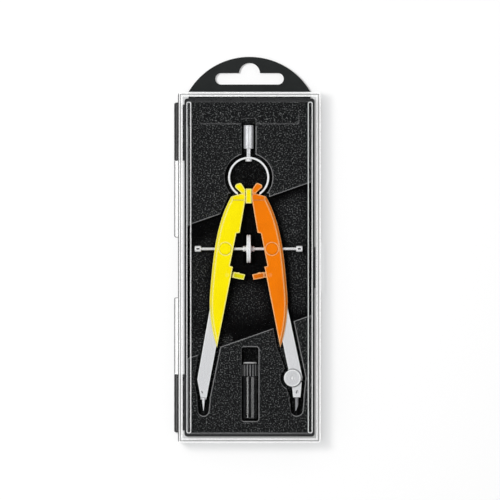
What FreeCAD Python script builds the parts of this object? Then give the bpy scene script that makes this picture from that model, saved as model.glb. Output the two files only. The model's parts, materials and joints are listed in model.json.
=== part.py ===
import FreeCAD, Part
import math
import os

# A slim hinged case on its back: black base, moulded insert, clear lid and a hanging tab. It holds
# a bow compass and a tube of spare leads. X is to the right, Y towards the tab, Z up out of the back.

# Lid
LID_WIDTH = 83.5
LID_LENGTH = 205.0
LID_HEIGHT = 22.0
LID_WALL = 2.2
LID_TOP_WALL = 1.6
LID_CORNER_RADIUS = 2.0
LID_EDGE_RADIUS = 0.8
LID_FOOT_GAP = 0.4
RAIL_WIDTH = 2.8
RAIL_INSET = 1.2
RAIL_END_GAP = 2.0
RAIL_CLEARANCE = 0.4
RAIL_CORNER_RADIUS = 1.1
LIP_LENGTH = 29.2
LIP_REACH = 0.5
LIP_HEIGHT = 5.0
LIP_RISE = 3.0

# Base
SKIRT_GAP = 1.5
BASE_WALL = 1.6
BASE_FLOOR = 1.6
BASE_HEIGHT = 12.0
BASE_CORNER_RADIUS = 1.8
LATCH_LENGTH = 24.0
LATCH_REACH = 0.5
LATCH_THICKNESS = 1.0
LATCH_RISE = 3.0

# Hinge on the left side: base knuckles outside, lid knuckles between them
KNUCKLE_RADIUS = 2.1
KNUCKLE_REACH = 2.35
KNUCKLE_RISE = 0.4
LID_KNUCKLE_START = 17.5
LID_KNUCKLE_LENGTH = 44.7
BASE_KNUCKLE_LENGTH = 34.0
KNUCKLE_GAP = 0.3
KNUCKLE_END_RADIUS = 1.2
NOTCH_CLEARANCE = 0.4
ARM_THICKNESS = 2.6
STUD_RADIUS = 1.0
STUD_LENGTH = 4.0
RUNNING_CLEARANCE = 0.05

# Hanging tab
TAB_WIDTH = 71.4
TAB_REACH = 20.7
TAB_ARC_MARGIN = 5.6
TAB_THICKNESS = 1.5
TAB_NOTCH_CLEARANCE = 1.2
TAB_TONGUE_WIDTH = 50.0
TAB_TONGUE_LENGTH = 9.0
TAB_FIT = 0.1
TAB_PEG_RADIUS = 2.0
TAB_PEG_SPACING = 36.0
HANG_SLOT_LENGTH = 40.0
HANG_SLOT_WIDTH = 6.7
HANG_SLOT_DROP = 12.85
HANG_HUMP_RADIUS = 6.1
HANG_HUMP_DROP = 9.7

# Insert
TRAY_FIT = 0.2
POCKET_FLOOR = 7.3
CHANNEL_FLOOR = 6.0
CHANNEL_SLOPE = 19.3
CHANNEL_TOP = 37.2
CHANNEL_BOTTOM = -40.4
LEG_ROOM = 1.9
RING_ROOM = 2.0
HANDLE_ROOM = 1.2
HANDLE_POCKET_RAMP = 4.2
TIP_ROOM = 3.1
LEAD_TIP_ROOM = 3.5
TIP_POCKET_END_ROOM = 3.0
LEDGE_LENGTH = 13.0
LEDGE_DEPTH = 0.5
LEDGE_SLOPE_LENGTH = 9.0
LEDGE_SIDE_MARGIN = 7.5
WHEEL_ROOM = 1.0
WHEEL_FINGER_ROOM = 1.85

# Compass as a whole: its middle line and middle plane
COMPASS_X = -0.5
COMPASS_Z = 11.5
LEG_THICKNESS = 8.0
LEG_BEVEL = 1.5
SHOULDER_FACET_LENGTH = 3.8
SHOULDER_FACET_DEPTH = 1.9
HOOK_TIP_RADIUS = 1.3
HOOK_TIP_SHARE = 0.46

# Leg outline, as distance out from the middle line and Y
LEG_OUTER_EDGE = [(10.1, 41.5), (15.9, 28.3), (19.7, 11.8), (22.1, -9.2), (22.8, -20.7), (22.2, -31.1),
                  (18.5, -46.8)]
LEG_INNER_EDGE = [(9.2, 0.4), (11.0, 0.9), (7.2, 20.0), (5.2, 20.3), (2.0, 39.1)]
LEG_HOOK = [(2.0, 45.6), (4.6, 49.6), (9.0, 47.9), (4.6, 43.8), (4.1, 43.2)]

# Head
HEAD_PIVOT_X = 5.0
HEAD_PIVOT_Y = 40.0
HEAD_PIN_RADIUS = 1.0
HEAD_PIN_LENGTH = 4.6
HEAD_BLOCK_WIDTH = 3.4
HEAD_BLOCK_TOP = 46.0
HEAD_BLOCK_BOTTOM = 37.5
HEAD_EAR_RADIUS = 1.9
HEAD_EAR_THICKNESS = 2.2
EAR_CLEARANCE = 0.3
RING_Y = 52.6
RING_RADIUS = 12.0
RING_THICKNESS = 1.1
RING_BAND = 4.0
RING_END_X = 6.3
RING_CLEARANCE = 0.35
STUD_BOLT_RADIUS = 0.85
NECK_RADIUS = 1.3
NECK_LENGTH = 4.8
GRIP_RADIUS = 2.9
GRIP_LENGTH = 13.7
GRIP_CHAMFER = 0.5
HANDLE_NUT_RADIUS = 1.9
HANDLE_NUT_LENGTH = 1.3
FIXED_CLEARANCE = 0.02

# Spindle and wheel
SPINDLE_Y = 10.9
SPINDLE_RADIUS = 0.95
SPINDLE_HALF_LENGTH = 31.1
SPINDLE_CAP_LENGTH = 3.3
SPINDLE_CAP_RADIUS = 1.75
SPINDLE_CAP_CHAMFER = 0.4
SPINDLE_ROOM = 0.65
WHEEL_RADIUS = 8.25
WHEEL_THICKNESS = 2.4
WHEEL_EDGE = 0.4
WHEEL_HUB_RADIUS = 2.2
WHEEL_HUB_TIP_RADIUS = 1.4
WHEEL_HUB_LENGTH = 2.2
TRUNNION_X = 13.6
TRUNNION_RADIUS = 3.5
TRUNNION_PROUD = 0.4
TRUNNION_BEVEL = 0.3
TRUNNION_BORE_CLEARANCE = 0.25

# Release levers, as distance out from the middle line and Y
LEVER_PADDLE = [(8.8, -2.6), (2.0, -4.1), (2.9, -7.2), (9.2, -6.0)]
LEVER_PADDLE_THICKNESS = 4.0
LEVER_PIVOT_X = 12.6
LEVER_PIVOT_Y = -4.4
LEVER_ROOT_RADIUS = 2.0
LEVER_ROOT_THICKNESS = 2.2
LEVER_BAR_WIDTH = 3.0
LEVER_SLOT_ROOM = 0.7
LEVER_SLOT_SIDE_GAP = 0.2
LEVER_PIN_RADIUS = 0.8
LEVER_PIN_LENGTH = 7.0
LEVER_SPRING_RADIUS = 1.7
LEVER_SPRING_HEIGHT = 0.9

# Metal arms, as distance out from the middle line and Y
ARM_THICKNESS_Z = 5.0
LEFT_ARM_OUTER_EDGE = [(22.3, -22.0), (30.0, -65.4), (28.1, -75.5)]
LEFT_ARM_INNER_EDGE = [(24.6, -76.2), (14.4, -22.0)]
RIGHT_ARM_OUTER_EDGE = [(22.4, -22.0), (30.7, -60.9), (31.4, -63.9), (31.2, -66.3)]
RIGHT_ARM_INNER_EDGE = [(22.0, -64.6), (23.2, -59.4), (15.4, -22.0)]
ARM_RIVET_RADIUS = 1.2
ARM_RIVETS = [(19.2, -27.0), (19.6, -34.0)]

# Needle
NEEDLE_X = 26.4
NEEDLE_RADIUS = 0.8
NEEDLE_REACH = 7.5
NEEDLE_LENGTH = 14.2
NEEDLE_TIP_RADIUS = 0.12
NEEDLE_TAPER = 5.0
NEEDLE_RETRACT = 6.0
NEEDLE_COLLAR_RADIUS = 1.8
NEEDLE_COLLAR_LENGTH = 0.9
NEEDLE_SCREW_X = 27.2
NEEDLE_SCREW_Y = -72.8
NEEDLE_SCREW_RADIUS = 0.8
SCREW_PROUD = 0.35
SCREW_TIP_GAP = 0.15

# Knee, lead holder and lead
KNEE_X = 25.6
KNEE_Y = -64.6
KNEE_END_RADIUS = 5.0
KNEE_GAP = 0.3
KNEE_SCREW_RADIUS = 5.1
KNEE_SCREW_HEIGHT = 2.0
KNEE_SCREW_BEVEL = 0.4
KNEE_SHAFT_RADIUS = 1.5
KNEE_NUT_RADIUS = 3.0
KNEE_NUT_HEIGHT = 1.2
KNEE_EYE_RADIUS = 3.2
KNEE_TONGUE_THICKNESS = 2.2
KNEE_TONGUE_GAP = 0.3
KNEE_LINK_EDGE = [(23.8, -66.0), (25.4, -71.0), (26.8, -71.0), (26.8, -66.0)]
LEAD_HOLDER_EDGE = [(25.1, -67.0), (26.0, -75.8), (30.2, -75.8), (31.0, -67.0)]
LEAD_X = 28.1
LEAD_RADIUS = 1.0
LEAD_REACH = 7.9
LEAD_LENGTH = 12.2
LEAD_TIP_SLOPE = 2.2
LEAD_SCREW_Y = -72.6
LEAD_SCREW_RADIUS = 1.1

# Spare lead tube
TUBE_X = 0.35
TUBE_RADIUS = 4.25
TUBE_WALL = 1.0
TUBE_MARGIN = 8.7
TUBE_LENGTH = 24.4
TUBE_EDGE = 0.5
CAP_RADIUS = 4.45
CAP_LENGTH = 8.9
CAP_CHAMFER = 1.3
CAP_PLUG_LENGTH = 6.0
CAP_SEAT_GAP = 0.05
TUBE_SIDE_ROOM = 0.5
TUBE_END_ROOM = 1.5
TUBE_FINGER_ROOM = 8.5
TUBE_POCKET_RADIUS = 1.5
SPARE_LEAD_COUNT = 3
SPARE_LEAD_RADIUS = 1.0
SPARE_LEAD_LENGTH = 16.0
SPARE_LEAD_GAP = 0.15

# Places worked out from the sizes above
BASE_WIDTH = LID_WIDTH - 2 * (LID_WALL + SKIRT_GAP)
BASE_LENGTH = LID_LENGTH - 2 * (LID_WALL + SKIRT_GAP)
HINGE_X = -(LID_WIDTH / 2 + KNUCKLE_REACH - KNUCKLE_RADIUS)
HINGE_Z = KNUCKLE_RADIUS + KNUCKLE_RISE
LID_KNUCKLE_END = LID_KNUCKLE_START + LID_KNUCKLE_LENGTH
BASE_KNUCKLE_START = LID_KNUCKLE_END + KNUCKLE_GAP
BASE_KNUCKLE_END = BASE_KNUCKLE_START + BASE_KNUCKLE_LENGTH
TAB_ARC_RADIUS = TAB_WIDTH / 2 + TAB_ARC_MARGIN
TAB_TOP = BASE_FLOOR + TAB_THICKNESS
TAB_APEX_Y = LID_LENGTH / 2 + TAB_REACH
TAB_PEG_Y = BASE_LENGTH / 2 - BASE_WALL - TAB_TONGUE_LENGTH / 2
TRAY_WIDTH = BASE_WIDTH - 2 * (BASE_WALL + TRAY_FIT)
TRAY_LENGTH = BASE_LENGTH - 2 * (BASE_WALL + TRAY_FIT)
LEG_BOTTOM = COMPASS_Z - LEG_THICKNESS / 2
LEG_TOP = COMPASS_Z + LEG_THICKNESS / 2
ARM_BOTTOM = COMPASS_Z - ARM_THICKNESS_Z / 2
ARM_TOP = COMPASS_Z + ARM_THICKNESS_Z / 2
KNEE_SCREW_TOP = ARM_TOP + KNEE_SCREW_HEIGHT
ARM_END_Y = LEFT_ARM_INNER_EDGE[0][1]
NEEDLE_TIP_Y = ARM_END_Y - NEEDLE_REACH
NEEDLE_TOP_Y = NEEDLE_TIP_Y + NEEDLE_LENGTH
HOLDER_END_Y = LEAD_HOLDER_EDGE[1][1]
LEAD_TIP_Y = HOLDER_END_Y - LEAD_REACH
LEAD_TOP_Y = LEAD_TIP_Y + LEAD_LENGTH
RING_INNER_RADIUS = RING_RADIUS - RING_THICKNESS
RING_TOP_Y = RING_Y + RING_RADIUS
GRIP_START_Y = RING_TOP_Y + NECK_LENGTH
GRIP_END_Y = GRIP_START_Y + GRIP_LENGTH
TUBE_BOTTOM_Y = TUBE_MARGIN - TRAY_LENGTH / 2
TUBE_TOP_Y = TUBE_BOTTOM_Y + TUBE_LENGTH
TUBE_BORE_RADIUS = TUBE_RADIUS - TUBE_WALL
CAP_TOP_Y = TUBE_TOP_Y + CAP_SEAT_GAP + CAP_LENGTH
TUBE_FLOOR = COMPASS_Z - CAP_RADIUS - RUNNING_CLEARANCE
ABOVE = LID_HEIGHT
LEFT = -1
RIGHT = 1
ALONG_X = FreeCAD.Vector(1, 0, 0)
ALONG_Y = FreeCAD.Vector(0, 1, 0)
ALONG_Z = FreeCAD.Vector(0, 0, 1)


# Small building blocks

def point(x, y, z):
    return FreeCAD.Vector(x, y, z)


def span(middle, size):
    return (middle - size / 2, middle + size / 2)


def block(x_span, y_span, z_span):
    """A box between two limits on each axis."""
    size = [high - low for low, high in (x_span, y_span, z_span)]
    return Part.makeBox(size[0], size[1], size[2], point(x_span[0], y_span[0], z_span[0]))


def post(x, y, radius, z_span):
    """An upright cylinder."""
    return Part.makeCylinder(radius, z_span[1] - z_span[0], point(x, y, z_span[0]), ALONG_Z)


def rod_y(x, z, radius, y_span):
    """A cylinder that lies along Y."""
    return Part.makeCylinder(radius, y_span[1] - y_span[0], point(x, y_span[0], z), ALONG_Y)


def rod_x(y, z, radius, x_span):
    """A cylinder that lies along X."""
    return Part.makeCylinder(radius, x_span[1] - x_span[0], point(x_span[0], y, z), ALONG_X)


def prism(outline, z_span):
    """An upright prism on a list of (x, y) corners."""
    corners = [point(x, y, z_span[0]) for x, y in outline]
    wire = Part.makePolygon(corners + corners[:1])
    return Part.Face(wire).extrude(ALONG_Z * (z_span[1] - z_span[0]))


def upright_edges(shape):
    """The straight edges of a shape that run along Z."""
    edges = []
    for edge in shape.Edges:
        start, end = edge.Vertexes[0].Point, edge.Vertexes[-1].Point
        if math.hypot(end.x - start.x, end.y - start.y) < 1e-6:
            edges.append(edge)
    return edges


def edges_at_height(shape, z):
    """The edges of a shape that lie flat at one height."""
    return [edge for edge in shape.Edges if all(abs(v.Point.z - z) < 1e-6 for v in edge.Vertexes)]


def rounded_block(x_span, y_span, z_span, radius):
    """A box with rounded upright corners."""
    box = block(x_span, y_span, z_span)
    return box.makeFillet(radius, upright_edges(box))


def turned(profile, x, z):
    """A solid turned about a line along Y, from (radius, y) points."""
    corners = [point(x + radius, y, z) for radius, y in profile]
    face = Part.Face(Part.makePolygon(corners + corners[:1]))
    return face.revolve(point(x, 0, z), ALONG_Y, 360)


def turned_across(profile, y, z):
    """A solid turned about a line along X, from (radius, x) points."""
    corners = [point(x, y + radius, z) for radius, x in profile]
    face = Part.Face(Part.makePolygon(corners + corners[:1]))
    return face.revolve(point(0, y, z), ALONG_X, 360)


def side_x(side, distance):
    """The X of something that lies out from the compass's middle line."""
    return COMPASS_X + side * distance


def on_side(side, outline):
    return [(side_x(side, distance), y) for distance, y in outline]


def both_ends(make):
    """The same feature near the top and near the bottom of the case."""
    shapes = []
    for end in (-1, 1):
        shapes.append(make(end))
    return shapes


def y_between(end, near, far):
    return (min(end * near, end * far), max(end * near, end * far))


def export(name, shape):
    shape.exportStep(os.path.join("parts", name + ".step"))


# Case

def hinge_knuckle(y_span, free_end):
    """One barrel of the hinge, rounded at its free end."""
    barrel = rod_y(HINGE_X, HINGE_Z, KNUCKLE_RADIUS, y_span)
    rim = [edge for edge in barrel.Edges if all(abs(v.Point.y - free_end) < 1e-6 for v in edge.Vertexes)]
    return barrel.makeFillet(KNUCKLE_END_RADIUS, rim)


def make_base():
    half_width, half_length = BASE_WIDTH / 2, BASE_LENGTH / 2
    inner_x, inner_y = half_width - BASE_WALL, half_length - BASE_WALL
    outside = rounded_block((-half_width, half_width), (-half_length, half_length), (0, BASE_HEIGHT),
                            BASE_CORNER_RADIUS)
    hollow = block((-inner_x, inner_x), (-inner_y, inner_y), (BASE_FLOOR, ABOVE))
    tab_half = TAB_TONGUE_WIDTH / 2 + TAB_FIT
    tab_slot = block((-tab_half, tab_half), (inner_y - BASE_WALL, half_length + BASE_WALL),
                     (BASE_FLOOR, TAB_TOP + TAB_FIT))

    def knuckle(end):
        y_span = y_between(end, BASE_KNUCKLE_START, BASE_KNUCKLE_END)
        arm_end = BASE_KNUCKLE_END - KNUCKLE_END_RADIUS
        arm = block((HINGE_X, -half_width), y_between(end, BASE_KNUCKLE_START, arm_end), (0, ARM_THICKNESS))
        return hinge_knuckle(y_span, end * BASE_KNUCKLE_END).fuse(arm)

    def stud_hole(end):
        depth = BASE_KNUCKLE_START + STUD_LENGTH
        y_span = y_between(end, BASE_KNUCKLE_START - KNUCKLE_GAP, depth)
        return rod_y(HINGE_X, HINGE_Z, STUD_RADIUS + RUNNING_CLEARANCE, y_span)

    def peg(end):
        return post(end * TAB_PEG_SPACING / 2, TAB_PEG_Y, TAB_PEG_RADIUS, (BASE_FLOOR / 2, TAB_TOP))

    ridge = block((half_width - BASE_WALL / 2, half_width + LATCH_REACH), span(0, LATCH_LENGTH),
                  (LATCH_RISE, LATCH_RISE + LATCH_THICKNESS))
    shell = outside.cut([hollow, tab_slot])
    shell = shell.fuse(both_ends(knuckle) + both_ends(peg) + [ridge])
    return shell.cut(both_ends(stud_hole)).removeSplitter()


def make_lid():
    half_width, half_length = LID_WIDTH / 2, LID_LENGTH / 2
    inner_x, inner_y = half_width - LID_WALL, half_length - LID_WALL
    ceiling = LID_HEIGHT - LID_TOP_WALL
    outside = rounded_block((-half_width, half_width), (-half_length, half_length),
                            (LID_FOOT_GAP, LID_HEIGHT), LID_CORNER_RADIUS)
    outside = outside.makeFillet(LID_EDGE_RADIUS, edges_at_height(outside, LID_HEIGHT))
    shell = outside.cut(block((-inner_x, inner_x), (-inner_y, inner_y), (-ABOVE, ceiling)))

    def rail(side):
        middle = side * (BASE_WIDTH / 2 - RAIL_INSET - RAIL_WIDTH / 2)
        half_rail = BASE_LENGTH / 2 - RAIL_END_GAP
        z_span = (KNEE_SCREW_TOP + RAIL_CLEARANCE, ceiling + LID_TOP_WALL / 2)
        return rounded_block(span(middle, RAIL_WIDTH), (-half_rail, half_rail), z_span, RAIL_CORNER_RADIUS)

    def knuckle(end):
        y_span = y_between(end, LID_KNUCKLE_START, LID_KNUCKLE_END)
        return hinge_knuckle(y_span, end * LID_KNUCKLE_START)

    def stud(end):
        return rod_y(HINGE_X, HINGE_Z, STUD_RADIUS,
                     y_between(end, LID_KNUCKLE_END - STUD_LENGTH, LID_KNUCKLE_END + STUD_LENGTH))

    def knuckle_notch(end):
        y_span = y_between(end, LID_KNUCKLE_END, BASE_KNUCKLE_END + KNUCKLE_GAP)
        return block((-half_width - KNUCKLE_REACH, -inner_x + SKIRT_GAP / 2), y_span,
                     (-ABOVE, HINGE_Z + KNUCKLE_RADIUS + NOTCH_CLEARANCE))

    tab_half = TAB_WIDTH / 2 + TAB_NOTCH_CLEARANCE
    tab_notch = block((-tab_half, tab_half), (inner_y - SKIRT_GAP / 2, half_length + LID_WALL),
                      (-ABOVE, TAB_TOP + NOTCH_CLEARANCE))
    lip = rounded_block((half_width - LID_WALL / 2, half_width + LIP_REACH), span(0, LIP_LENGTH),
                        (LIP_RISE, LIP_RISE + LIP_HEIGHT), LIP_REACH * 0.9)
    shell = shell.cut(both_ends(knuckle_notch) + [tab_notch])
    return shell.fuse(both_ends(rail) + both_ends(knuckle) + both_ends(stud) + [lip]).removeSplitter()


def make_hang_tab():
    half_width = TAB_WIDTH / 2
    wall_y = BASE_LENGTH / 2
    arc_y = TAB_APEX_Y - TAB_ARC_RADIUS
    shoulder_y = arc_y + math.sqrt(TAB_ARC_RADIUS ** 2 - half_width ** 2)
    z = BASE_FLOOR
    left_foot, left_shoulder = point(-half_width, wall_y, z), point(-half_width, shoulder_y, z)
    right_foot, right_shoulder = point(half_width, wall_y, z), point(half_width, shoulder_y, z)
    arch = Part.Arc(left_shoulder, point(0, TAB_APEX_Y, z), right_shoulder).toShape()
    sides = [Part.makeLine(left_foot, left_shoulder), arch, Part.makeLine(right_shoulder, right_foot),
             Part.makeLine(right_foot, left_foot)]
    plate = Part.Face(Part.Wire(sides)).extrude(ALONG_Z * TAB_THICKNESS)
    tongue = block(span(0, TAB_TONGUE_WIDTH), (wall_y - BASE_WALL - TAB_TONGUE_LENGTH, wall_y),
                   (BASE_FLOOR, TAB_TOP))
    through = (0, BASE_HEIGHT)
    slot_y = TAB_APEX_Y - HANG_SLOT_DROP
    end_x = (HANG_SLOT_LENGTH - HANG_SLOT_WIDTH) / 2
    slot = block((-end_x, end_x), span(slot_y, HANG_SLOT_WIDTH), through)
    openings = [slot, post(0, TAB_APEX_Y - HANG_HUMP_DROP, HANG_HUMP_RADIUS, through)]
    for end in (-1, 1):
        openings.append(post(end * end_x, slot_y, HANG_SLOT_WIDTH / 2, through))
        openings.append(post(end * TAB_PEG_SPACING / 2, TAB_PEG_Y, TAB_PEG_RADIUS + TAB_FIT, through))
    return plate.fuse(tongue).removeSplitter().cut(openings)


# Insert and its recesses

def leg_pocket(side, arm_outer, arm_inner):
    """The recess round one leg and its arm, with room on both sides."""
    shoulder_x, shoulder_y = LEG_OUTER_EDGE[0]
    head_y = shoulder_y + LEG_ROOM
    leg_inner = [LEG_OUTER_EDGE[-1], LEG_INNER_EDGE[0], LEG_INNER_EDGE[-1]]
    outer = [(shoulder_x, head_y)] + LEG_OUTER_EDGE[:4] + arm_outer
    inner = arm_inner[:-1] + leg_inner + [(LEG_INNER_EDGE[-1][0], head_y)]
    outline = [(x + LEG_ROOM, y) for x, y in outer] + [(x - LEG_ROOM, y) for x, y in inner]
    return prism(on_side(side, outline), (POCKET_FLOOR, ABOVE))


def head_pocket():
    """The recess below the ring, round the head block."""
    half = HEAD_PIVOT_X + LEG_ROOM
    y_span = (HEAD_BLOCK_BOTTOM - LEG_ROOM, RING_Y)
    return block(span(COMPASS_X, 2 * half), y_span, (POCKET_FLOOR, ABOVE))


def tip_pocket(side, inner_corner, outer_corner, tip_x, tip_y, room):
    """The recess below an arm, where the needle or the lead lies: it narrows to a round end."""
    inner_x, outer_x = inner_corner[0] - LEG_ROOM, outer_corner[0] + LEG_ROOM
    foot_y = min(inner_corner[1], outer_corner[1]) - LEG_ROOM
    end_y = tip_y - TIP_POCKET_END_ROOM + room
    outline = [(inner_x, inner_corner[1]), (inner_x, foot_y), (tip_x - room, end_y), (tip_x + room, end_y),
               (outer_x, foot_y), (outer_x, outer_corner[1])]
    z_span = (POCKET_FLOOR, ABOVE)
    return prism(on_side(side, outline), z_span).fuse(post(side_x(side, tip_x), end_y, room, z_span))


def handle_pocket():
    """The recess of the grip: it ends in a ramp towards the top of the case."""
    half = GRIP_RADIUS + HANDLE_ROOM
    profile = [(RING_Y, ABOVE), (RING_Y, POCKET_FLOOR), (GRIP_END_Y, POCKET_FLOOR),
               (GRIP_END_Y + HANDLE_POCKET_RAMP, BASE_HEIGHT), (GRIP_END_Y + HANDLE_POCKET_RAMP, ABOVE)]
    corners = [point(COMPASS_X - half, y, z) for y, z in profile]
    return Part.Face(Part.makePolygon(corners + corners[:1])).extrude(ALONG_X * (2 * half))


def top_ledge():
    """The shallow step near the top of the insert: it drops at once and slopes back up towards the end."""
    half = TRAY_WIDTH / 2 - LEDGE_SIDE_MARGIN
    start_y = TRAY_LENGTH / 2 - LEDGE_LENGTH
    end_y = start_y + LEDGE_SLOPE_LENGTH
    profile = [(start_y, BASE_HEIGHT - LEDGE_DEPTH), (end_y, BASE_HEIGHT), (end_y, ABOVE), (start_y, ABOVE)]
    corners = [point(-half, y, z) for y, z in profile]
    return Part.Face(Part.makePolygon(corners + corners[:1])).extrude(ALONG_X * (2 * half))


def finger_channel():
    """The slanting trough across the insert, for the fingers that lift the compass out."""
    reach = BASE_WIDTH / 2
    rise = reach * math.tan(math.radians(CHANNEL_SLOPE))
    outline = [(-reach, CHANNEL_BOTTOM - rise), (reach, CHANNEL_BOTTOM + rise),
               (reach, CHANNEL_TOP + rise), (-reach, CHANNEL_TOP - rise)]
    return prism(outline, (CHANNEL_FLOOR, ABOVE))


def wheel_pocket():
    floor = COMPASS_Z - WHEEL_RADIUS - WHEEL_ROOM * 0.4
    half_x = WHEEL_THICKNESS / 2 + WHEEL_FINGER_ROOM
    half_y = WHEEL_RADIUS + WHEEL_ROOM
    return block(span(COMPASS_X, 2 * half_x), span(SPINDLE_Y, 2 * half_y), (floor, ABOVE))


def tube_pocket():
    half = CAP_RADIUS + TUBE_SIDE_ROOM
    y_span = (TUBE_BOTTOM_Y - TUBE_END_ROOM, CAP_TOP_Y + TUBE_FINGER_ROOM)
    return rounded_block(span(TUBE_X, 2 * half), y_span, (TUBE_FLOOR, ABOVE), TUBE_POCKET_RADIUS)


def make_insert_tray():
    tray = block(span(0, TRAY_WIDTH), span(0, TRAY_LENGTH), (BASE_FLOOR, BASE_HEIGHT))
    knee_room = KNEE_SCREW_RADIUS + LEG_ROOM
    holder_inner, holder_outer = LEAD_HOLDER_EDGE[1:3]
    tongue_room = block(span(0, TAB_TONGUE_WIDTH + 2 * TAB_FIT),
                        (BASE_LENGTH / 2 - BASE_WALL - TAB_TONGUE_LENGTH - TAB_FIT, BASE_LENGTH / 2),
                        (0, TAB_TOP + TAB_FIT))
    recesses = [
        finger_channel(),
        leg_pocket(LEFT, LEFT_ARM_OUTER_EDGE, LEFT_ARM_INNER_EDGE),
        leg_pocket(RIGHT, RIGHT_ARM_OUTER_EDGE + [holder_outer], [holder_inner] + RIGHT_ARM_INNER_EDGE),
        post(side_x(RIGHT, KNEE_X), KNEE_Y, knee_room, (POCKET_FLOOR, ABOVE)),
        tip_pocket(LEFT, LEFT_ARM_INNER_EDGE[0], LEFT_ARM_OUTER_EDGE[-1], NEEDLE_X, NEEDLE_TIP_Y, TIP_ROOM),
        tip_pocket(RIGHT, holder_inner, holder_outer, LEAD_X, LEAD_TIP_Y, LEAD_TIP_ROOM),
        post(COMPASS_X, RING_Y, RING_RADIUS + RING_ROOM, (POCKET_FLOOR, ABOVE)),
        head_pocket(),
        handle_pocket(),
        top_ledge(),
        wheel_pocket(),
        tube_pocket(),
        tongue_room,
    ]
    for recess in recesses:
        tray = tray.cut(recess)
    return tray.removeSplitter()


# Compass head

def make_spring_ring():
    z_span = span(COMPASS_Z, RING_BAND)
    ring = post(COMPASS_X, RING_Y, RING_RADIUS, z_span)
    hollow = post(COMPASS_X, RING_Y, RING_INNER_RADIUS, z_span)
    mouth = block(span(COMPASS_X, 2 * RING_END_X), (RING_Y - 2 * RING_RADIUS, RING_Y), z_span)
    stud_hole = rod_y(COMPASS_X, COMPASS_Z, STUD_BOLT_RADIUS + FIXED_CLEARANCE, (RING_Y, GRIP_START_Y))
    return ring.cut([hollow, mouth, stud_hole])


def nut_seat_y():
    """Where the nut's flat face meets the curved inside of the ring."""
    return RING_Y + math.sqrt(RING_INNER_RADIUS ** 2 - HANDLE_NUT_RADIUS ** 2)


def make_handle():
    stud_end = nut_seat_y() - HANDLE_NUT_LENGTH
    profile = [(0, stud_end), (STUD_BOLT_RADIUS, stud_end), (STUD_BOLT_RADIUS, RING_TOP_Y),
               (NECK_RADIUS, RING_TOP_Y), (NECK_RADIUS, GRIP_START_Y),
               (GRIP_RADIUS - GRIP_CHAMFER, GRIP_START_Y), (GRIP_RADIUS, GRIP_START_Y + GRIP_CHAMFER),
               (GRIP_RADIUS, GRIP_END_Y - GRIP_CHAMFER), (GRIP_RADIUS - GRIP_CHAMFER, GRIP_END_Y),
               (0, GRIP_END_Y)]
    return turned(profile, COMPASS_X, COMPASS_Z)


def make_handle_nut():
    seat = nut_seat_y()
    y_span = (seat - HANDLE_NUT_LENGTH, seat)
    hole = rod_y(COMPASS_X, COMPASS_Z, STUD_BOLT_RADIUS + FIXED_CLEARANCE, y_span)
    return rod_y(COMPASS_X, COMPASS_Z, HANDLE_NUT_RADIUS, y_span).cut(hole)


def make_head_block():
    web = block(span(COMPASS_X, HEAD_BLOCK_WIDTH), (HEAD_BLOCK_BOTTOM, HEAD_BLOCK_TOP), (LEG_BOTTOM, LEG_TOP))
    ear_z = span(COMPASS_Z, HEAD_EAR_THICKNESS)
    pieces = [block(span(COMPASS_X, 2 * HEAD_PIVOT_X), span(HEAD_PIVOT_Y, 2 * HEAD_EAR_RADIUS), ear_z)]
    holes = []
    for side in (LEFT, RIGHT):
        pivot_x = side_x(side, HEAD_PIVOT_X)
        pieces.append(post(pivot_x, HEAD_PIVOT_Y, HEAD_EAR_RADIUS, ear_z))
        holes.append(post(pivot_x, HEAD_PIVOT_Y, HEAD_PIN_RADIUS + FIXED_CLEARANCE, ear_z))
    return web.fuse(pieces).cut(holes).removeSplitter()


def make_head_pins():
    pins = [post(side_x(side, HEAD_PIVOT_X), HEAD_PIVOT_Y, HEAD_PIN_RADIUS, span(COMPASS_Z, HEAD_PIN_LENGTH))
            for side in (LEFT, RIGHT)]
    return Part.makeCompound(pins)


# Compass legs

def leg_body(side):
    """The moulded leg: curved outer edge, stepped inner edge, and the hook that the ring presses on."""
    outer = [point(x, y, LEG_BOTTOM) for x, y in on_side(side, LEG_OUTER_EDGE)]
    curve = Part.BSplineCurve()
    curve.interpolate(outer)
    inner = [point(x, y, LEG_BOTTOM) for x, y in on_side(side, LEG_INNER_EDGE + LEG_HOOK)]
    wire = Part.Wire([curve.toShape()] + Part.makePolygon([outer[-1]] + inner + [outer[0]]).Edges)
    body = Part.Face(wire).extrude(ALONG_Z * LEG_THICKNESS)
    rims = [edge for edge in body.Edges if edge.Curve.TypeId == "Part::GeomBSplineCurve"]
    body = body.makeChamfer(LEG_BEVEL, rims)
    tips = on_side(side, LEG_HOOK[1:3])
    tip_edges = [edge for edge in upright_edges(body) if near_one_of(edge.Vertexes[0].Point, tips)]
    radius = min(HOOK_TIP_RADIUS, HOOK_TIP_SHARE * math.dist(*tips))
    return body.makeFillet(radius, tip_edges).cut(shoulder_facet(side))


def near_one_of(vertex, places):
    return any(math.hypot(vertex.x - x, vertex.y - y) < 1e-6 for x, y in places)


def shoulder_facet(side):
    """The sloping roof at the top of a leg, under the ring."""
    high_y = LEG_HOOK[-1][1]
    low_y = high_y - SHOULDER_FACET_LENGTH
    profile = [(low_y, LEG_TOP), (high_y, LEG_TOP - SHOULDER_FACET_DEPTH), (high_y, LEG_TOP)]
    corners = [point(COMPASS_X, y, z) for y, z in profile]
    wedge = Part.Face(Part.makePolygon(corners + corners[:1]))
    return wedge.extrude(ALONG_X * (side * SPINDLE_HALF_LENGTH))


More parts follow.
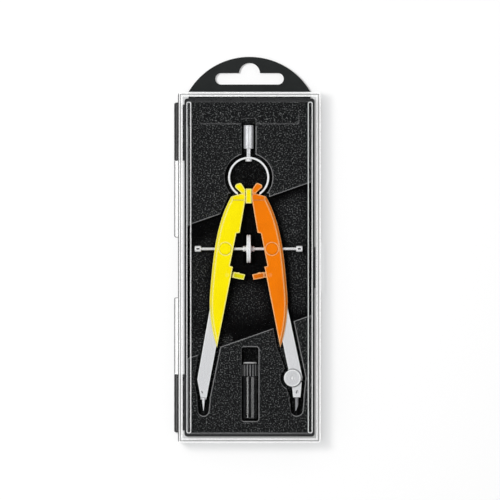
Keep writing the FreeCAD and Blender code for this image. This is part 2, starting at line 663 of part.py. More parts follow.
def ring_notch(side):
    """Room for the end of the spring ring between the hook and the shoulder of a leg."""
    z_span = span(COMPASS_Z, RING_BAND + 2 * RING_CLEARANCE)
    groove = post(COMPASS_X, RING_Y, RING_RADIUS + RING_CLEARANCE, z_span)
    groove = groove.cut(post(COMPASS_X, RING_Y, RING_INNER_RADIUS - RING_CLEARANCE, z_span))
    start, end = RING_END_X - RING_CLEARANCE, RING_RADIUS + 2 * RING_CLEARANCE
    x_span = sorted((side_x(side, start), side_x(side, end)))
    return groove.common(block(x_span, (RING_Y - 2 * RING_RADIUS, RING_Y), z_span))


def lever_slot(side):
    radius = LEVER_ROOT_RADIUS + LEVER_SLOT_ROOM
    low = COMPASS_Z - LEVER_ROOT_THICKNESS / 2 - LEVER_SLOT_SIDE_GAP
    high = COMPASS_Z + LEVER_ROOT_THICKNESS / 2 + LEVER_SPRING_HEIGHT + 2 * LEVER_SLOT_SIDE_GAP
    pivot_x = side_x(side, LEVER_PIVOT_X)
    mouth_x = sorted((pivot_x, side_x(side, LEVER_PADDLE[0][0])))
    mouth = block(mouth_x, span(LEVER_PIVOT_Y, 2 * radius), (low, high))
    return post(pivot_x, LEVER_PIVOT_Y, radius, (low, high)).fuse(mouth)


def make_leg_shell(side, arm, rivets, lever_pin):
    pivot_x = side_x(side, HEAD_PIVOT_X)
    ear_z = span(COMPASS_Z, HEAD_EAR_THICKNESS + 2 * EAR_CLEARANCE)
    ear_room = HEAD_EAR_RADIUS + EAR_CLEARANCE
    ear_mouth = block(sorted((pivot_x, COMPASS_X)), span(HEAD_PIVOT_Y, 2 * ear_room), ear_z)
    trunnion_x = side_x(side, TRUNNION_X)
    spindle_x = sorted((COMPASS_X, side_x(side, SPINDLE_HALF_LENGTH)))
    cuts = [
        ring_notch(side),
        post(pivot_x, HEAD_PIVOT_Y, ear_room, ear_z),
        ear_mouth,
        post(pivot_x, HEAD_PIVOT_Y, HEAD_PIN_RADIUS + RUNNING_CLEARANCE,
             span(COMPASS_Z, HEAD_PIN_LENGTH + 2 * RUNNING_CLEARANCE)),
        post(trunnion_x, SPINDLE_Y, TRUNNION_RADIUS + RUNNING_CLEARANCE, (0, ABOVE)),
        rod_x(SPINDLE_Y, COMPASS_Z, SPINDLE_RADIUS + SPINDLE_ROOM, spindle_x),
        lever_slot(side),
        lever_pin,
        arm,
        rivets,
    ]
    shell = leg_body(side)
    for cut in cuts:
        shell = shell.cut(cut)
    return shell


def make_trunnion(side):
    """A turning button in the leg, cross-drilled for the spindle."""
    x = side_x(side, TRUNNION_X)
    top = LEG_TOP + TRUNNION_PROUD
    button = post(x, SPINDLE_Y, TRUNNION_RADIUS, (LEG_BOTTOM, top))
    button = button.makeChamfer(TRUNNION_BEVEL, edges_at_height(button, top))
    bore = rod_x(SPINDLE_Y, COMPASS_Z, SPINDLE_RADIUS + TRUNNION_BORE_CLEARANCE, span(x, 3 * TRUNNION_RADIUS))
    return button.cut(bore)


def make_lever(side):
    pivot_x = side_x(side, LEVER_PIVOT_X)
    root_z = span(COMPASS_Z, LEVER_ROOT_THICKNESS)
    paddle = prism(on_side(side, LEVER_PADDLE), span(COMPASS_Z, LEVER_PADDLE_THICKNESS))
    inner_x = side_x(side, (LEVER_PADDLE[0][0] + LEVER_PADDLE[1][0]) / 2)
    bar = block(sorted((pivot_x, inner_x)), span(LEVER_PIVOT_Y, LEVER_BAR_WIDTH), root_z)
    root = post(pivot_x, LEVER_PIVOT_Y, LEVER_ROOT_RADIUS, root_z)
    hole = post(pivot_x, LEVER_PIVOT_Y, LEVER_PIN_RADIUS + RUNNING_CLEARANCE, root_z)
    return paddle.fuse([bar, root]).cut(hole).removeSplitter()


def make_lever_pin(side):
    z_span = span(COMPASS_Z, LEVER_PIN_LENGTH)
    return post(side_x(side, LEVER_PIVOT_X), LEVER_PIVOT_Y, LEVER_PIN_RADIUS, z_span)


def make_lever_spring(side):
    """The return spring, wound round the lever's pin, as a plain sleeve."""
    x = side_x(side, LEVER_PIVOT_X)
    low = COMPASS_Z + LEVER_ROOT_THICKNESS / 2 + LEVER_SLOT_SIDE_GAP
    z_span = (low, low + LEVER_SPRING_HEIGHT)
    hole = post(x, LEVER_PIVOT_Y, LEVER_PIN_RADIUS + RUNNING_CLEARANCE, z_span)
    return post(x, LEVER_PIVOT_Y, LEVER_SPRING_RADIUS, z_span).cut(hole)


def make_rivets(side):
    rivets = [post(x, y, ARM_RIVET_RADIUS, (LEG_BOTTOM, ARM_TOP)) for x, y in on_side(side, ARM_RIVETS)]
    return Part.makeCompound(rivets)


def make_spindle():
    x_span = span(COMPASS_X, 2 * SPINDLE_HALF_LENGTH)
    return rod_x(SPINDLE_Y, COMPASS_Z, SPINDLE_RADIUS, x_span)


def make_thumb_wheel():
    bore = SPINDLE_RADIUS + FIXED_CLEARANCE
    rim = WHEEL_THICKNESS / 2
    hub = rim + WHEEL_HUB_LENGTH
    half = [(WHEEL_RADIUS, rim - WHEEL_EDGE), (WHEEL_RADIUS - WHEEL_EDGE, rim), (WHEEL_HUB_RADIUS, rim),
            (WHEEL_HUB_TIP_RADIUS, hub), (bore, hub)]
    profile = half + [(radius, -x) for radius, x in reversed(half)]
    return turned_across([(radius, COMPASS_X + x) for radius, x in profile], SPINDLE_Y, COMPASS_Z)


def make_spindle_caps():
    caps = []
    for side in (LEFT, RIGHT):
        inner = SPINDLE_HALF_LENGTH - SPINDLE_CAP_LENGTH
        outer = SPINDLE_HALF_LENGTH + SPINDLE_CAP_CHAMFER
        bore = SPINDLE_RADIUS + FIXED_CLEARANCE
        profile = [(bore, inner), (SPINDLE_CAP_RADIUS, inner), (SPINDLE_CAP_RADIUS, SPINDLE_HALF_LENGTH),
                   (SPINDLE_CAP_RADIUS - SPINDLE_CAP_CHAMFER, outer), (bore, outer)]
        placed = [(radius, side_x(side, x)) for radius, x in profile]
        caps.append(turned_across(placed, SPINDLE_Y, COMPASS_Z))
    return Part.makeCompound(caps)


# Left arm with the needle

def make_needle():
    shoulder = NEEDLE_TIP_Y + NEEDLE_TAPER
    profile = [(0, NEEDLE_TIP_Y), (NEEDLE_TIP_RADIUS, NEEDLE_TIP_Y), (NEEDLE_RADIUS, shoulder),
               (NEEDLE_RADIUS, NEEDLE_TOP_Y), (0, NEEDLE_TOP_Y)]
    return turned(profile, side_x(LEFT, NEEDLE_X), COMPASS_Z)


def make_needle_screw():
    z_span = (COMPASS_Z + NEEDLE_RADIUS + SCREW_TIP_GAP, ARM_TOP + SCREW_PROUD)
    return post(side_x(LEFT, NEEDLE_SCREW_X), NEEDLE_SCREW_Y, NEEDLE_SCREW_RADIUS, z_span)


def make_left_arm(rivets, screw):
    x = side_x(LEFT, NEEDLE_X)
    arm = prism(on_side(LEFT, LEFT_ARM_OUTER_EDGE + LEFT_ARM_INNER_EDGE), (ARM_BOTTOM, ARM_TOP))
    collar_span = (ARM_END_Y - NEEDLE_COLLAR_LENGTH, ARM_END_Y + 2 * NEEDLE_COLLAR_LENGTH)
    collar = rod_y(x, COMPASS_Z, NEEDLE_COLLAR_RADIUS, collar_span)
    bore_span = (NEEDLE_TIP_Y, NEEDLE_TOP_Y + NEEDLE_RETRACT)
    bore = rod_y(x, COMPASS_Z, NEEDLE_RADIUS + RUNNING_CLEARANCE, bore_span)
    return arm.fuse(collar).cut(bore).cut(screw).cut(rivets)


# Right arm with the knee and the lead

def make_right_arm(rivets):
    x = side_x(RIGHT, KNEE_X)
    z_span = (ARM_BOTTOM, ARM_TOP)
    arm = prism(on_side(RIGHT, RIGHT_ARM_OUTER_EDGE + RIGHT_ARM_INNER_EDGE), z_span)
    arm = arm.fuse(post(x, KNEE_Y, KNEE_END_RADIUS, z_span)).removeSplitter()
    tongue_z = span(COMPASS_Z, KNEE_TONGUE_THICKNESS + 2 * KNEE_TONGUE_GAP)
    tongue_room = post(x, KNEE_Y, KNEE_END_RADIUS + KNEE_GAP, tongue_z)
    shaft_hole = post(x, KNEE_Y, KNEE_SHAFT_RADIUS + RUNNING_CLEARANCE, z_span)
    return arm.cut([tongue_room, shaft_hole]).cut(rivets)


def make_lead_holder(screw):
    x = side_x(RIGHT, KNEE_X)
    body = prism(on_side(RIGHT, LEAD_HOLDER_EDGE), (ARM_BOTTOM, ARM_TOP))
    body = body.cut(post(x, KNEE_Y, KNEE_END_RADIUS + KNEE_GAP, (0, ABOVE)))
    tongue_z = span(COMPASS_Z, KNEE_TONGUE_THICKNESS)
    link = prism(on_side(RIGHT, KNEE_LINK_EDGE), tongue_z)
    eye = post(x, KNEE_Y, KNEE_EYE_RADIUS, tongue_z)
    shaft_hole = post(x, KNEE_Y, KNEE_SHAFT_RADIUS + RUNNING_CLEARANCE, tongue_z)
    lead_hole = rod_y(side_x(RIGHT, LEAD_X), COMPASS_Z, LEAD_RADIUS + RUNNING_CLEARANCE, (LEAD_TIP_Y, KNEE_Y))
    return body.fuse([link, eye]).cut([shaft_hole, lead_hole]).cut(screw).removeSplitter()


def make_lead():
    x = side_x(RIGHT, LEAD_X)
    lead = rod_y(x, COMPASS_Z, LEAD_RADIUS, (LEAD_TIP_Y, LEAD_TOP_Y))
    half = 2 * LEAD_RADIUS
    slope = [(x - half, LEAD_TIP_Y - half * LEAD_TIP_SLOPE), (x + half, LEAD_TIP_Y - half * LEAD_TIP_SLOPE),
             (x + half, LEAD_TIP_Y + (half + LEAD_RADIUS) * LEAD_TIP_SLOPE)]
    return lead.cut(prism(slope, (0, ABOVE)))


def make_lead_screw():
    z_span = (COMPASS_Z + LEAD_RADIUS + SCREW_TIP_GAP, ARM_TOP + SCREW_PROUD)
    return post(side_x(RIGHT, LEAD_X), LEAD_SCREW_Y, LEAD_SCREW_RADIUS, z_span)


def make_knee_screw():
    x = side_x(RIGHT, KNEE_X)
    low, high = ARM_TOP + RUNNING_CLEARANCE, KNEE_SCREW_TOP
    head = post(x, KNEE_Y, KNEE_SCREW_RADIUS, (low, high))
    head = head.makeChamfer(KNEE_SCREW_BEVEL, edges_at_height(head, high))
    shaft = post(x, KNEE_Y, KNEE_SHAFT_RADIUS, (ARM_BOTTOM - KNEE_NUT_HEIGHT, low))
    return head.fuse(shaft).removeSplitter()


def make_knee_nut():
    x = side_x(RIGHT, KNEE_X)
    z_span = (ARM_BOTTOM - KNEE_NUT_HEIGHT, ARM_BOTTOM)
    hole = post(x, KNEE_Y, KNEE_SHAFT_RADIUS + RUNNING_CLEARANCE, z_span)
    return post(x, KNEE_Y, KNEE_NUT_RADIUS, z_span).cut(hole)


# Spare leads

def make_lead_tube():
    floor = TUBE_BOTTOM_Y + TUBE_WALL
    profile = [(0, TUBE_BOTTOM_Y), (TUBE_RADIUS - TUBE_EDGE, TUBE_BOTTOM_Y),
               (TUBE_RADIUS, TUBE_BOTTOM_Y + TUBE_EDGE), (TUBE_RADIUS, TUBE_TOP_Y),
               (TUBE_BORE_RADIUS, TUBE_TOP_Y), (TUBE_BORE_RADIUS, floor), (0, floor)]
    return turned(profile, TUBE_X, COMPASS_Z)


def make_lead_tube_cap():
    seat = TUBE_TOP_Y + CAP_SEAT_GAP
    plug_radius = TUBE_BORE_RADIUS - RUNNING_CLEARANCE
    plug_end = seat - CAP_PLUG_LENGTH
    profile = [(0, plug_end), (plug_radius, plug_end), (plug_radius, seat), (CAP_RADIUS, seat),
               (CAP_RADIUS, CAP_TOP_Y - CAP_CHAMFER), (CAP_RADIUS - CAP_CHAMFER, CAP_TOP_Y), (0, CAP_TOP_Y)]
    return turned(profile, TUBE_X, COMPASS_Z)


def make_spare_leads():
    """Loose leads that lie together on the floor of the tube."""
    ring_radius = TUBE_BORE_RADIUS - SPARE_LEAD_RADIUS - SPARE_LEAD_GAP
    start = TUBE_BOTTOM_Y + TUBE_WALL + SPARE_LEAD_GAP
    leads = []
    for index in range(SPARE_LEAD_COUNT):
        angle = 2 * math.pi * index / SPARE_LEAD_COUNT - math.pi / 2
        x = TUBE_X + ring_radius * math.cos(angle)
        z = COMPASS_Z + ring_radius * math.sin(angle)
        leads.append(rod_y(x, z, SPARE_LEAD_RADIUS, (start, start + SPARE_LEAD_LENGTH)))
    return Part.makeCompound(leads)


def main():
    os.makedirs("parts", exist_ok=True)
    export("case_base", make_base())
    export("lid", make_lid())
    export("hang_tab", make_hang_tab())
    export("insert_tray", make_insert_tray())

    export("spring_ring", make_spring_ring())
    export("handle", make_handle())
    export("handle_nut", make_handle_nut())
    export("head_block", make_head_block())
    export("head_pins", make_head_pins())

    needle_screw = make_needle_screw()
    left_rivets, right_rivets = make_rivets(LEFT), make_rivets(RIGHT)
    left_arm, right_arm = make_left_arm(left_rivets, needle_screw), make_right_arm(right_rivets)
    legs = (("left", LEFT, left_arm, left_rivets), ("right", RIGHT, right_arm, right_rivets))
    for name, side, arm, rivets in legs:
        lever_pin = make_lever_pin(side)
        export(name + "_leg_shell", make_leg_shell(side, arm, rivets, lever_pin))
        export(name + "_leg_arm", arm)
        export(name + "_leg_rivets", rivets)
        export(name + "_trunnion", make_trunnion(side))
        export(name + "_lever", make_lever(side))
        export(name + "_lever_pin", lever_pin)
        export(name + "_lever_spring", make_lever_spring(side))

    export("spindle", make_spindle())
    export("thumb_wheel", make_thumb_wheel())
    export("spindle_caps", make_spindle_caps())

    export("needle", make_needle())
    export("needle_screw", needle_screw)
    lead_screw = make_lead_screw()
    export("lead_holder", make_lead_holder(lead_screw))
    export("lead", make_lead())
    export("lead_screw", lead_screw)
    export("knee_screw", make_knee_screw())
    export("knee_nut", make_knee_nut())

    export("lead_tube", make_lead_tube())
    export("lead_tube_cap", make_lead_tube_cap())
    export("spare_leads", make_spare_leads())


main()
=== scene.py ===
import json
import math

import bmesh
import bpy
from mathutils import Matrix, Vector


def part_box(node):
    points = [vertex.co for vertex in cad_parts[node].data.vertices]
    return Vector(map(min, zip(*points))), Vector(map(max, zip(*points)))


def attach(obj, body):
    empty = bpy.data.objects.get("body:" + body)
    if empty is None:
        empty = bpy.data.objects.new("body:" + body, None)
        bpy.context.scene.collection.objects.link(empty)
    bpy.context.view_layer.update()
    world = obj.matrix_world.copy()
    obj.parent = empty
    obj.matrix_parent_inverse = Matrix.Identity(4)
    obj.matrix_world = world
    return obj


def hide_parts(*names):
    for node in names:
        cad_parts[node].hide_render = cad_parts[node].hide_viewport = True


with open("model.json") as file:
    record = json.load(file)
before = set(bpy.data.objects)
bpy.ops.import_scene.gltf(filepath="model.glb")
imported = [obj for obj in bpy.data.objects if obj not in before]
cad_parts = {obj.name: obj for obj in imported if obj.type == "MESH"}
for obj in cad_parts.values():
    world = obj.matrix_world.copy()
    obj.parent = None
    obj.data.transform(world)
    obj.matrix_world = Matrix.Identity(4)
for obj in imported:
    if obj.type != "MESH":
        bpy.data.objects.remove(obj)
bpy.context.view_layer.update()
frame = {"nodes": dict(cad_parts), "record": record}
nodes = frame["nodes"]
MM = 0.001

# Colours, as linear light
WHITE = (1.0, 1.0, 1.0)
BLACK = (0.012, 0.012, 0.013)
BLACK_WORN = (0.016, 0.016, 0.017)
BLACK_EDGE = (0.05, 0.05, 0.052)
TUBE = (0.006, 0.006, 0.007)
CAP_EDGE = (0.5, 0.5, 0.505)
CAP_CREST = (0.32, 0.32, 0.325)
TAB_GREY = (0.017, 0.0185, 0.0185)
TAB_WORN = (0.021, 0.023, 0.023)
TRAY_PAINTED_SHADE = (0.001, 0.001, 0.0012)
TRAY_DARK = (0.009, 0.0095, 0.010)
TRAY_FLECK = (0.175, 0.18, 0.18)
TRAY_EDGE = (0.30, 0.30, 0.305)
YELLOW = (1.0, 0.84, 0.0)
YELLOW_DEEP = (0.97, 0.79, 0.0)
YELLOW_SHADED = (0.72, 0.67, 0.0)
YELLOW_LINE = (0.40, 0.33, 0.0)
YELLOW_EDGE = (1.0, 0.93, 0.32)
ORANGE = (0.92, 0.205, 0.0)
ORANGE_DEEP = (0.84, 0.18, 0.0)
ORANGE_SHADED = (0.72, 0.15, 0.0)
ORANGE_LINE = (0.38, 0.07, 0.0)
ORANGE_EDGE = (1.0, 0.56, 0.24)
SILVER = (0.95, 0.95, 0.97)
SILVER_DULL = (0.87, 0.87, 0.89)
SILVER_EDGE = (0.95, 0.95, 0.96)
POLISH_DULL = (0.90, 0.90, 0.92)
KNURL_DULL = (0.86, 0.86, 0.88)
STEEL = (0.66, 0.66, 0.69)
STEEL_DULL = (0.52, 0.52, 0.55)
METAL_SHADE = (0.10, 0.10, 0.105)
GRAPHITE = (0.34, 0.34, 0.35)
GRAPHITE_DARK = (0.20, 0.20, 0.21)
CLEAR_TINT = (0.985, 0.985, 0.985)
CLEAR_OUTLINE = (0.01, 0.01, 0.011)
CLEAR_SHADE_LINE = (0.22, 0.22, 0.225)
LID_SIDE_SHADE = (0.70, 0.705, 0.71)
LID_TOP_SHADE = (0.975, 0.98, 0.98)
FLOOR_COLOUR = (0.95, 0.95, 0.95)

# Places that the looks share with the solids, in millimetres
LID_WIDTH = 83.5
LID_LENGTH = 205.0
LID_INSIDE_X = 39.55
LID_INSIDE_Y = 100.3
LID_CEILING = 20.4
COMPASS_X = -0.5
COMPASS_Z = 11.5
CHANNEL_FLOOR = 6.0
LEDGE_Y = 84.0
KNEE_X = 25.1
KNEE_Y = -64.6


# Materials

class Graph:
    """The node tree of a material or a world, and short ways to add to it."""

    def __init__(self, owner):
        owner.use_nodes = True
        self.tree = owner.node_tree
        self.tree.nodes.clear()

    def node(self, kind, **settings):
        made = self.tree.nodes.new(kind)
        for key, value in settings.items():
            setattr(made, key, value)
        return made

    def feed(self, socket, value):
        """Links an output to a socket, or sets a plain value on it."""
        if isinstance(value, bpy.types.NodeSocket):
            self.tree.links.new(value, socket)
        elif isinstance(value, tuple) and len(value) == 3 and socket.type == "RGBA":
            socket.default_value = (*value, 1.0)
        else:
            socket.default_value = value

    def fed(self, made, values):
        """Feeds the first inputs of a node and returns its outputs."""
        for socket, value in zip(made.inputs, values):
            self.feed(socket, value)
        return made.outputs

    def math(self, operation, *values):
        return self.fed(self.node("ShaderNodeMath", operation=operation), values)[0]

    def vector_math(self, operation, *values):
        return self.fed(self.node("ShaderNodeVectorMath", operation=operation), values)

    def part_of(self, vector, axis):
        return self.fed(self.node("ShaderNodeSeparateXYZ"), [vector])[axis]

    def product(self, first, *others):
        for other in others:
            first = self.math("MULTIPLY", first, other)
        return first

    def apart(self, value, place_mm):
        """How far a value lies from a place, on either side."""
        return self.math("ABSOLUTE", self.math("SUBTRACT", value, place_mm * MM))

    def ranged(self, value, low, high, to_low=0.0, to_high=1.0):
        made = self.node("ShaderNodeMapRange")
        for key, number in (("From Min", low), ("From Max", high), ("To Min", to_low), ("To Max", to_high)):
            made.inputs[key].default_value = number
        self.feed(made.inputs["Value"], value)
        return made.outputs["Result"]

    def rising(self, value, low_mm, high_mm, least=0.0):
        """The least share up to the first place, and 1 from the second on."""
        return self.ranged(value, low_mm * MM, high_mm * MM, least, 1.0)

    def falling(self, value, low_mm, high_mm, least=0.0):
        """1 up to the first place, and the least share from the second on."""
        return self.ranged(value, low_mm * MM, high_mm * MM, 1.0, least)

    def mixed(self, share, first, second):
        made = self.node("ShaderNodeMix", data_type="RGBA")
        self.feed(made.inputs["Factor"], share)
        self.feed(made.inputs["A"], first)
        self.feed(made.inputs["B"], second)
        return made.outputs["Result"]

    def blended(self, share, first, second):
        """A mix of two shaders."""
        return self.fed(self.node("ShaderNodeMixShader"), (share, first, second))[0]


# SIDEWAYS keeps the level part of a heading, and across RIGHTWARD's range an edge loses its painted
# highlight.
SIDEWAYS = (1.0, 1.0, 0.0)
RIGHTWARD = (0.5, 0.85)
RIGHT_EDGE_SHARE = 0.15
BEVEL_SAMPLES = 6
OPENNESS_SAMPLES = 8


class Shader(Graph):
    """A material round one Principled shader, with patterns in the piece's own coordinates."""

    def __init__(self, name):
        self.material = bpy.data.materials.new(name)
        super().__init__(self.material)
        self.output = self.node("ShaderNodeOutputMaterial")
        self.surface = self.node("ShaderNodeBsdfPrincipled")
        self.feed(self.output.inputs["Surface"], self.surface.outputs["BSDF"])
        self.place = self.node("ShaderNodeTexCoord").outputs["Object"]

    def set(self, **values):
        for key, value in values.items():
            self.feed(self.surface.inputs[key.replace("_", " ")], value)

    def part_of_place(self, axis):
        return self.part_of(self.place, axis)

    def true_normal(self):
        return self.node("ShaderNodeNewGeometry").outputs["True Normal"]

    def stretched(self, factors):
        mapping = self.node("ShaderNodeMapping")
        self.feed(mapping.inputs["Vector"], self.place)
        mapping.inputs["Scale"].default_value = factors
        return mapping.outputs["Vector"]

    def noise(self, size_mm, detail=3.0, vector=None):
        """Noise whose features are about as large as the size given."""
        made = self.node("ShaderNodeTexNoise")
        self.feed(made.inputs["Vector"], vector or self.place)
        made.inputs["Scale"].default_value = 1.0 / (size_mm * MM)
        made.inputs["Detail"].default_value = detail
        return made.outputs["Fac"]

    def bump(self, height, depth_mm, strength, before=None):
        made = self.node("ShaderNodeBump")
        made.inputs["Strength"].default_value = strength
        made.inputs["Distance"].default_value = depth_mm * MM
        self.feed(made.inputs["Height"], height)
        if before is not None:
            self.feed(made.inputs["Normal"], before)
        return made.outputs["Normal"]

    def soft_edges(self, radius_mm):
        """A normal that rounds the edges of the solid by a hair."""
        made = self.node("ShaderNodeBevel", samples=BEVEL_SAMPLES)
        made.inputs["Radius"].default_value = radius_mm * MM
        return made.outputs["Normal"]

    def edge_turn(self, radius_mm):
        """How far the surface turns within that radius: 0 on a face, 0.29 on a square edge."""
        agreement = self.vector_math("DOT_PRODUCT", self.soft_edges(radius_mm), self.true_normal())
        return self.math("SUBTRACT", 1.0, agreement["Value"])

    def openness(self, reach_mm):
        """1 where nothing stands within that reach of the surface, and less in corners and pockets."""
        made = self.node("ShaderNodeAmbientOcclusion", samples=OPENNESS_SAMPLES)
        made.inputs["Distance"].default_value = reach_mm * MM
        return made.outputs["AO"]

    def not_facing_right(self, radius_mm):
        """Near 0 on edges that slope down to the right, away from the light, and 1 on the others."""
        flat = self.vector_math("MULTIPLY", self.soft_edges(radius_mm), SIDEWAYS)[0]
        heading = self.vector_math("NORMALIZE", flat)[0]
        return self.ranged(self.part_of(heading, "X"), *RIGHTWARD, 1.0, RIGHT_EDGE_SHARE)


# The lid. Places and sizes are in millimetres, and a pair says where a change starts and ends.
LID_ROUGHNESS = 0.015
LID_IOR = 1.49
LID_EDGE_REACH = 1.05
LID_EDGE_TURN = (0.001, 0.008)
EDGE_GLOW = 0.96
EDGE_PAINTED_GLOW = 0.15
RAIL_SIDE = (37.6, 37.9)
RAIL_END = (98.0, 98.3)
CEILING_NEAR = (0.05, 0.15)
WALL_EASE = 0.1
WALL_LEVEL = (0.5, 0.8)
WALL_GLOW = 0.5
SHADE_LINE_INSET = 1.35
SHADE_LINE_NEAR = (0.15, 0.35)
SHADE_LINE_HEIGHT = (21.9, 21.95)
HINGE_SIDE = (-41.35, -41.05)
TOP_EDGE = (21.0, 21.2)
KNUCKLE_TOP = (4.8, 5.2)
KNUCKLE_LEVEL = (0.55, 0.85)
FILM_LEVEL = (0.3, 0.9)
SCRATCH_SIZE = 9.0
SCRATCH_STRETCH = (1.0, 0.12, 1.0)
SCRATCH_DEPTH = 0.02
SCRATCH_STRENGTH = 0.05


def lid_edges(shader, height, across, along):
    """1 on the edges of the lid, but not on the ceiling where its rails stand, and 0 on its faces."""
    edge = shader.ranged(shader.edge_turn(LID_EDGE_REACH), *LID_EDGE_TURN)
    by_rail = shader.product(shader.falling(across, *RAIL_SIDE), shader.falling(along, *RAIL_END),
                             shader.falling(shader.apart(height, LID_CEILING), *CEILING_NEAR))
    return shader.product(edge, shader.math("SUBTRACT", 1.0, by_rail))


def lid_walls(shader, across, along, level):
    """How pale the level ends of the lid's walls are painted: a painted highlight for the light that the
    walls pipe.
    """
    beside = shader.rising(across, LID_INSIDE_X - WALL_EASE, LID_INSIDE_X + WALL_EASE)
    at_end = shader.rising(along, LID_INSIDE_Y - WALL_EASE, LID_INSIDE_Y + WALL_EASE)
    wall = shader.math("MAXIMUM", beside, at_end)
    return shader.product(wall, shader.ranged(level, *WALL_LEVEL), WALL_GLOW)


def lid_tint(shader, height, across, along, level):
    """Clear, with painted shade: a grey line round the top and a dark outline on the hinge side."""
    inward = shader.math("MINIMUM", shader.math("SUBTRACT", LID_WIDTH / 2 * MM, across),
                         shader.math("SUBTRACT", LID_LENGTH / 2 * MM, along))
    shade_line = shader.product(shader.falling(shader.apart(inward, SHADE_LINE_INSET), *SHADE_LINE_NEAR),
                          shader.rising(height, *SHADE_LINE_HEIGHT))
    knuckle_side = shader.product(shader.falling(height, *KNUCKLE_TOP),
                                  shader.ranged(level, *KNUCKLE_LEVEL, 1.0, 0.0))
    outline = shader.product(shader.falling(shader.part_of_place("X"), *HINGE_SIDE),
                             shader.math("MAXIMUM", shader.rising(height, *TOP_EDGE), knuckle_side))
    return shader.mixed(outline, shader.mixed(shade_line, CLEAR_TINT, CLEAR_SHADE_LINE), CLEAR_OUTLINE)


def let_light_through(shader, level):
    """Lamps, scattered light and mirror images pass the lid as if it were a faintly grey film."""
    path = shader.node("ShaderNodeLightPath")
    lit = shader.math("MAXIMUM", path.outputs["Is Shadow Ray"], path.outputs["Is Diffuse Ray"])
    mirrored = shader.math("SUBTRACT", path.outputs["Is Glossy Ray"], path.outputs["Is Transmission Ray"])
    film = shader.node("ShaderNodeBsdfTransparent")
    shade = shader.mixed(shader.ranged(level, *FILM_LEVEL), LID_SIDE_SHADE, LID_TOP_SHADE)
    shader.feed(film.inputs["Color"], shade)
    surface = shader.blended(shader.math("MAXIMUM", lit, mirrored), shader.surface.outputs["BSDF"],
                             film.outputs["BSDF"])
    shader.feed(shader.output.inputs["Surface"], surface)


def clear_plastic():
    """Clear lid: polished, with pale edges and a faint glow on them, both painted highlight for the light
    that moulded clear plastic pipes to its edges.
    """
    shader = Shader("clear_plastic")
    height = shader.part_of_place("Z")
    across = shader.math("ABSOLUTE", shader.part_of_place("X"))
    along = shader.math("ABSOLUTE", shader.part_of_place("Y"))
    level = shader.math("ABSOLUTE", shader.part_of(shader.true_normal(), "Z"))
    edge = lid_edges(shader, height, across, along)
    tint = lid_tint(shader, height, across, along, level)
    painted_pale = shader.math("MAXIMUM", shader.product(edge, EDGE_GLOW), lid_walls(shader, across, along, level))
    scratches = shader.noise(SCRATCH_SIZE, vector=shader.stretched(SCRATCH_STRETCH))
    shader.set(Base_Color=tint, Roughness=LID_ROUGHNESS, IOR=LID_IOR)
    shader.set(Transmission_Weight=shader.math("SUBTRACT", 1.0, painted_pale))
    shader.set(Emission_Color=tint, Emission_Strength=shader.product(edge, EDGE_PAINTED_GLOW))
    shader.set(Normal=shader.bump(scratches, SCRATCH_DEPTH, SCRATCH_STRENGTH))
    let_light_through(shader, level)
    return shader.material


# Moulded plastic. Sizes are in millimetres, a turn is what edge_turn gives, and a spread is the part of a
# noise's range that is used.
NOISE_SPREAD = (0.3, 0.7)
SOFT_EDGE = 0.3
SMOOTHER = 0.05
TONE_SIZE = 11.0
TONE_SPREAD = (0.35, 0.7)
MOULD_OPEN = (0.6, 1.0)
LINE_TURN = (0.004, 0.012)
EDGE_TURN = (0.014, 0.035)
MOULD_PATCH = 3.0
MOULD_PATCH_DETAIL = 4.0
MOULD_ROUGHER = 0.07
GRAIN_STRENGTH = 0.5


def moulded(name, colour, second, line, edge_colour, roughness=0.42, grain_mm=0.5, grain_depth=0.012,
            edge_mm=1.3, shine=0.1, shaded_mm=0.0):
    """Moulded plastic: a fine grain, slow changes of tone, and a painted highlight on its edges, inside a
    thin darker line.
    With a reach for shade, it is painted darker that close to other surfaces, as shade."""
    shader = Shader(name)
    body = shader.mixed(shader.ranged(shader.noise(TONE_SIZE), *TONE_SPREAD), colour, second)
    if shaded_mm:
        body = shader.mixed(shader.ranged(shader.openness(shaded_mm), *MOULD_OPEN), line, body)
    turn = shader.edge_turn(edge_mm)
    lined = shader.mixed(shader.ranged(turn, *LINE_TURN), body, line)
    patches = shader.noise(MOULD_PATCH, MOULD_PATCH_DETAIL)
    rough = shader.ranged(patches, *NOISE_SPREAD, roughness - SMOOTHER, roughness + MOULD_ROUGHER)
    shader.set(Base_Color=shader.mixed(shader.ranged(turn, *EDGE_TURN), lined, edge_colour))
    shader.set(Roughness=rough, Specular_IOR_Level=shine)
    grain = shader.noise(grain_mm)
    shader.set(Normal=shader.bump(grain, grain_depth, GRAIN_STRENGTH, shader.soft_edges(SOFT_EDGE)))
    return shader.material


# The insert. Places and sizes are in millimetres, and a pair says where a change starts and ends.
FLOOR_NEAR = (0.2, 0.4)
BESIDE_LEGS = (11, 15)
BETWEEN_TOP = (-12, -6)
BETWEEN_FOOT = (-36, -20)
BETWEEN_SHARE = 0.6
WALL_SLOPE = 0.53
WALL_RISE = 37.2
WALL_SHADE = (4, 11)
CHANNEL_REACH = 11.0
CHANNEL_OPEN = (0.5, 0.9)
CHANNEL_SHARE = (0.02, 1.1)
ARM_POCKET_FOOT = (-73, -67)
ARM_POCKET_TOP = (-42, -38)
BESIDE_ARMS = (9, 10)
FLECK_SIZE = 0.75
FLECK_DETAIL = 1.0
FLECK_SPREAD = (0.55, 0.72)
FLECK_ROUGHNESS = (0.8, 0.5)
TRAY_PATCH = 2.4
TRAY_PATCH_SPREAD = (0.35, 0.65)
TRAY_PATCH_LEAST = 0.55
TRAY_DETAIL = 2.0
RECESS_HEIGHT = (6.5, 11.0)
RECESS_LEAST = 0.06
TRAY_EDGE_REACH = 1.2
TRAY_EDGE_TURN = (0.012, 0.06)
TRAY_TOP = (10.6, 11.6)
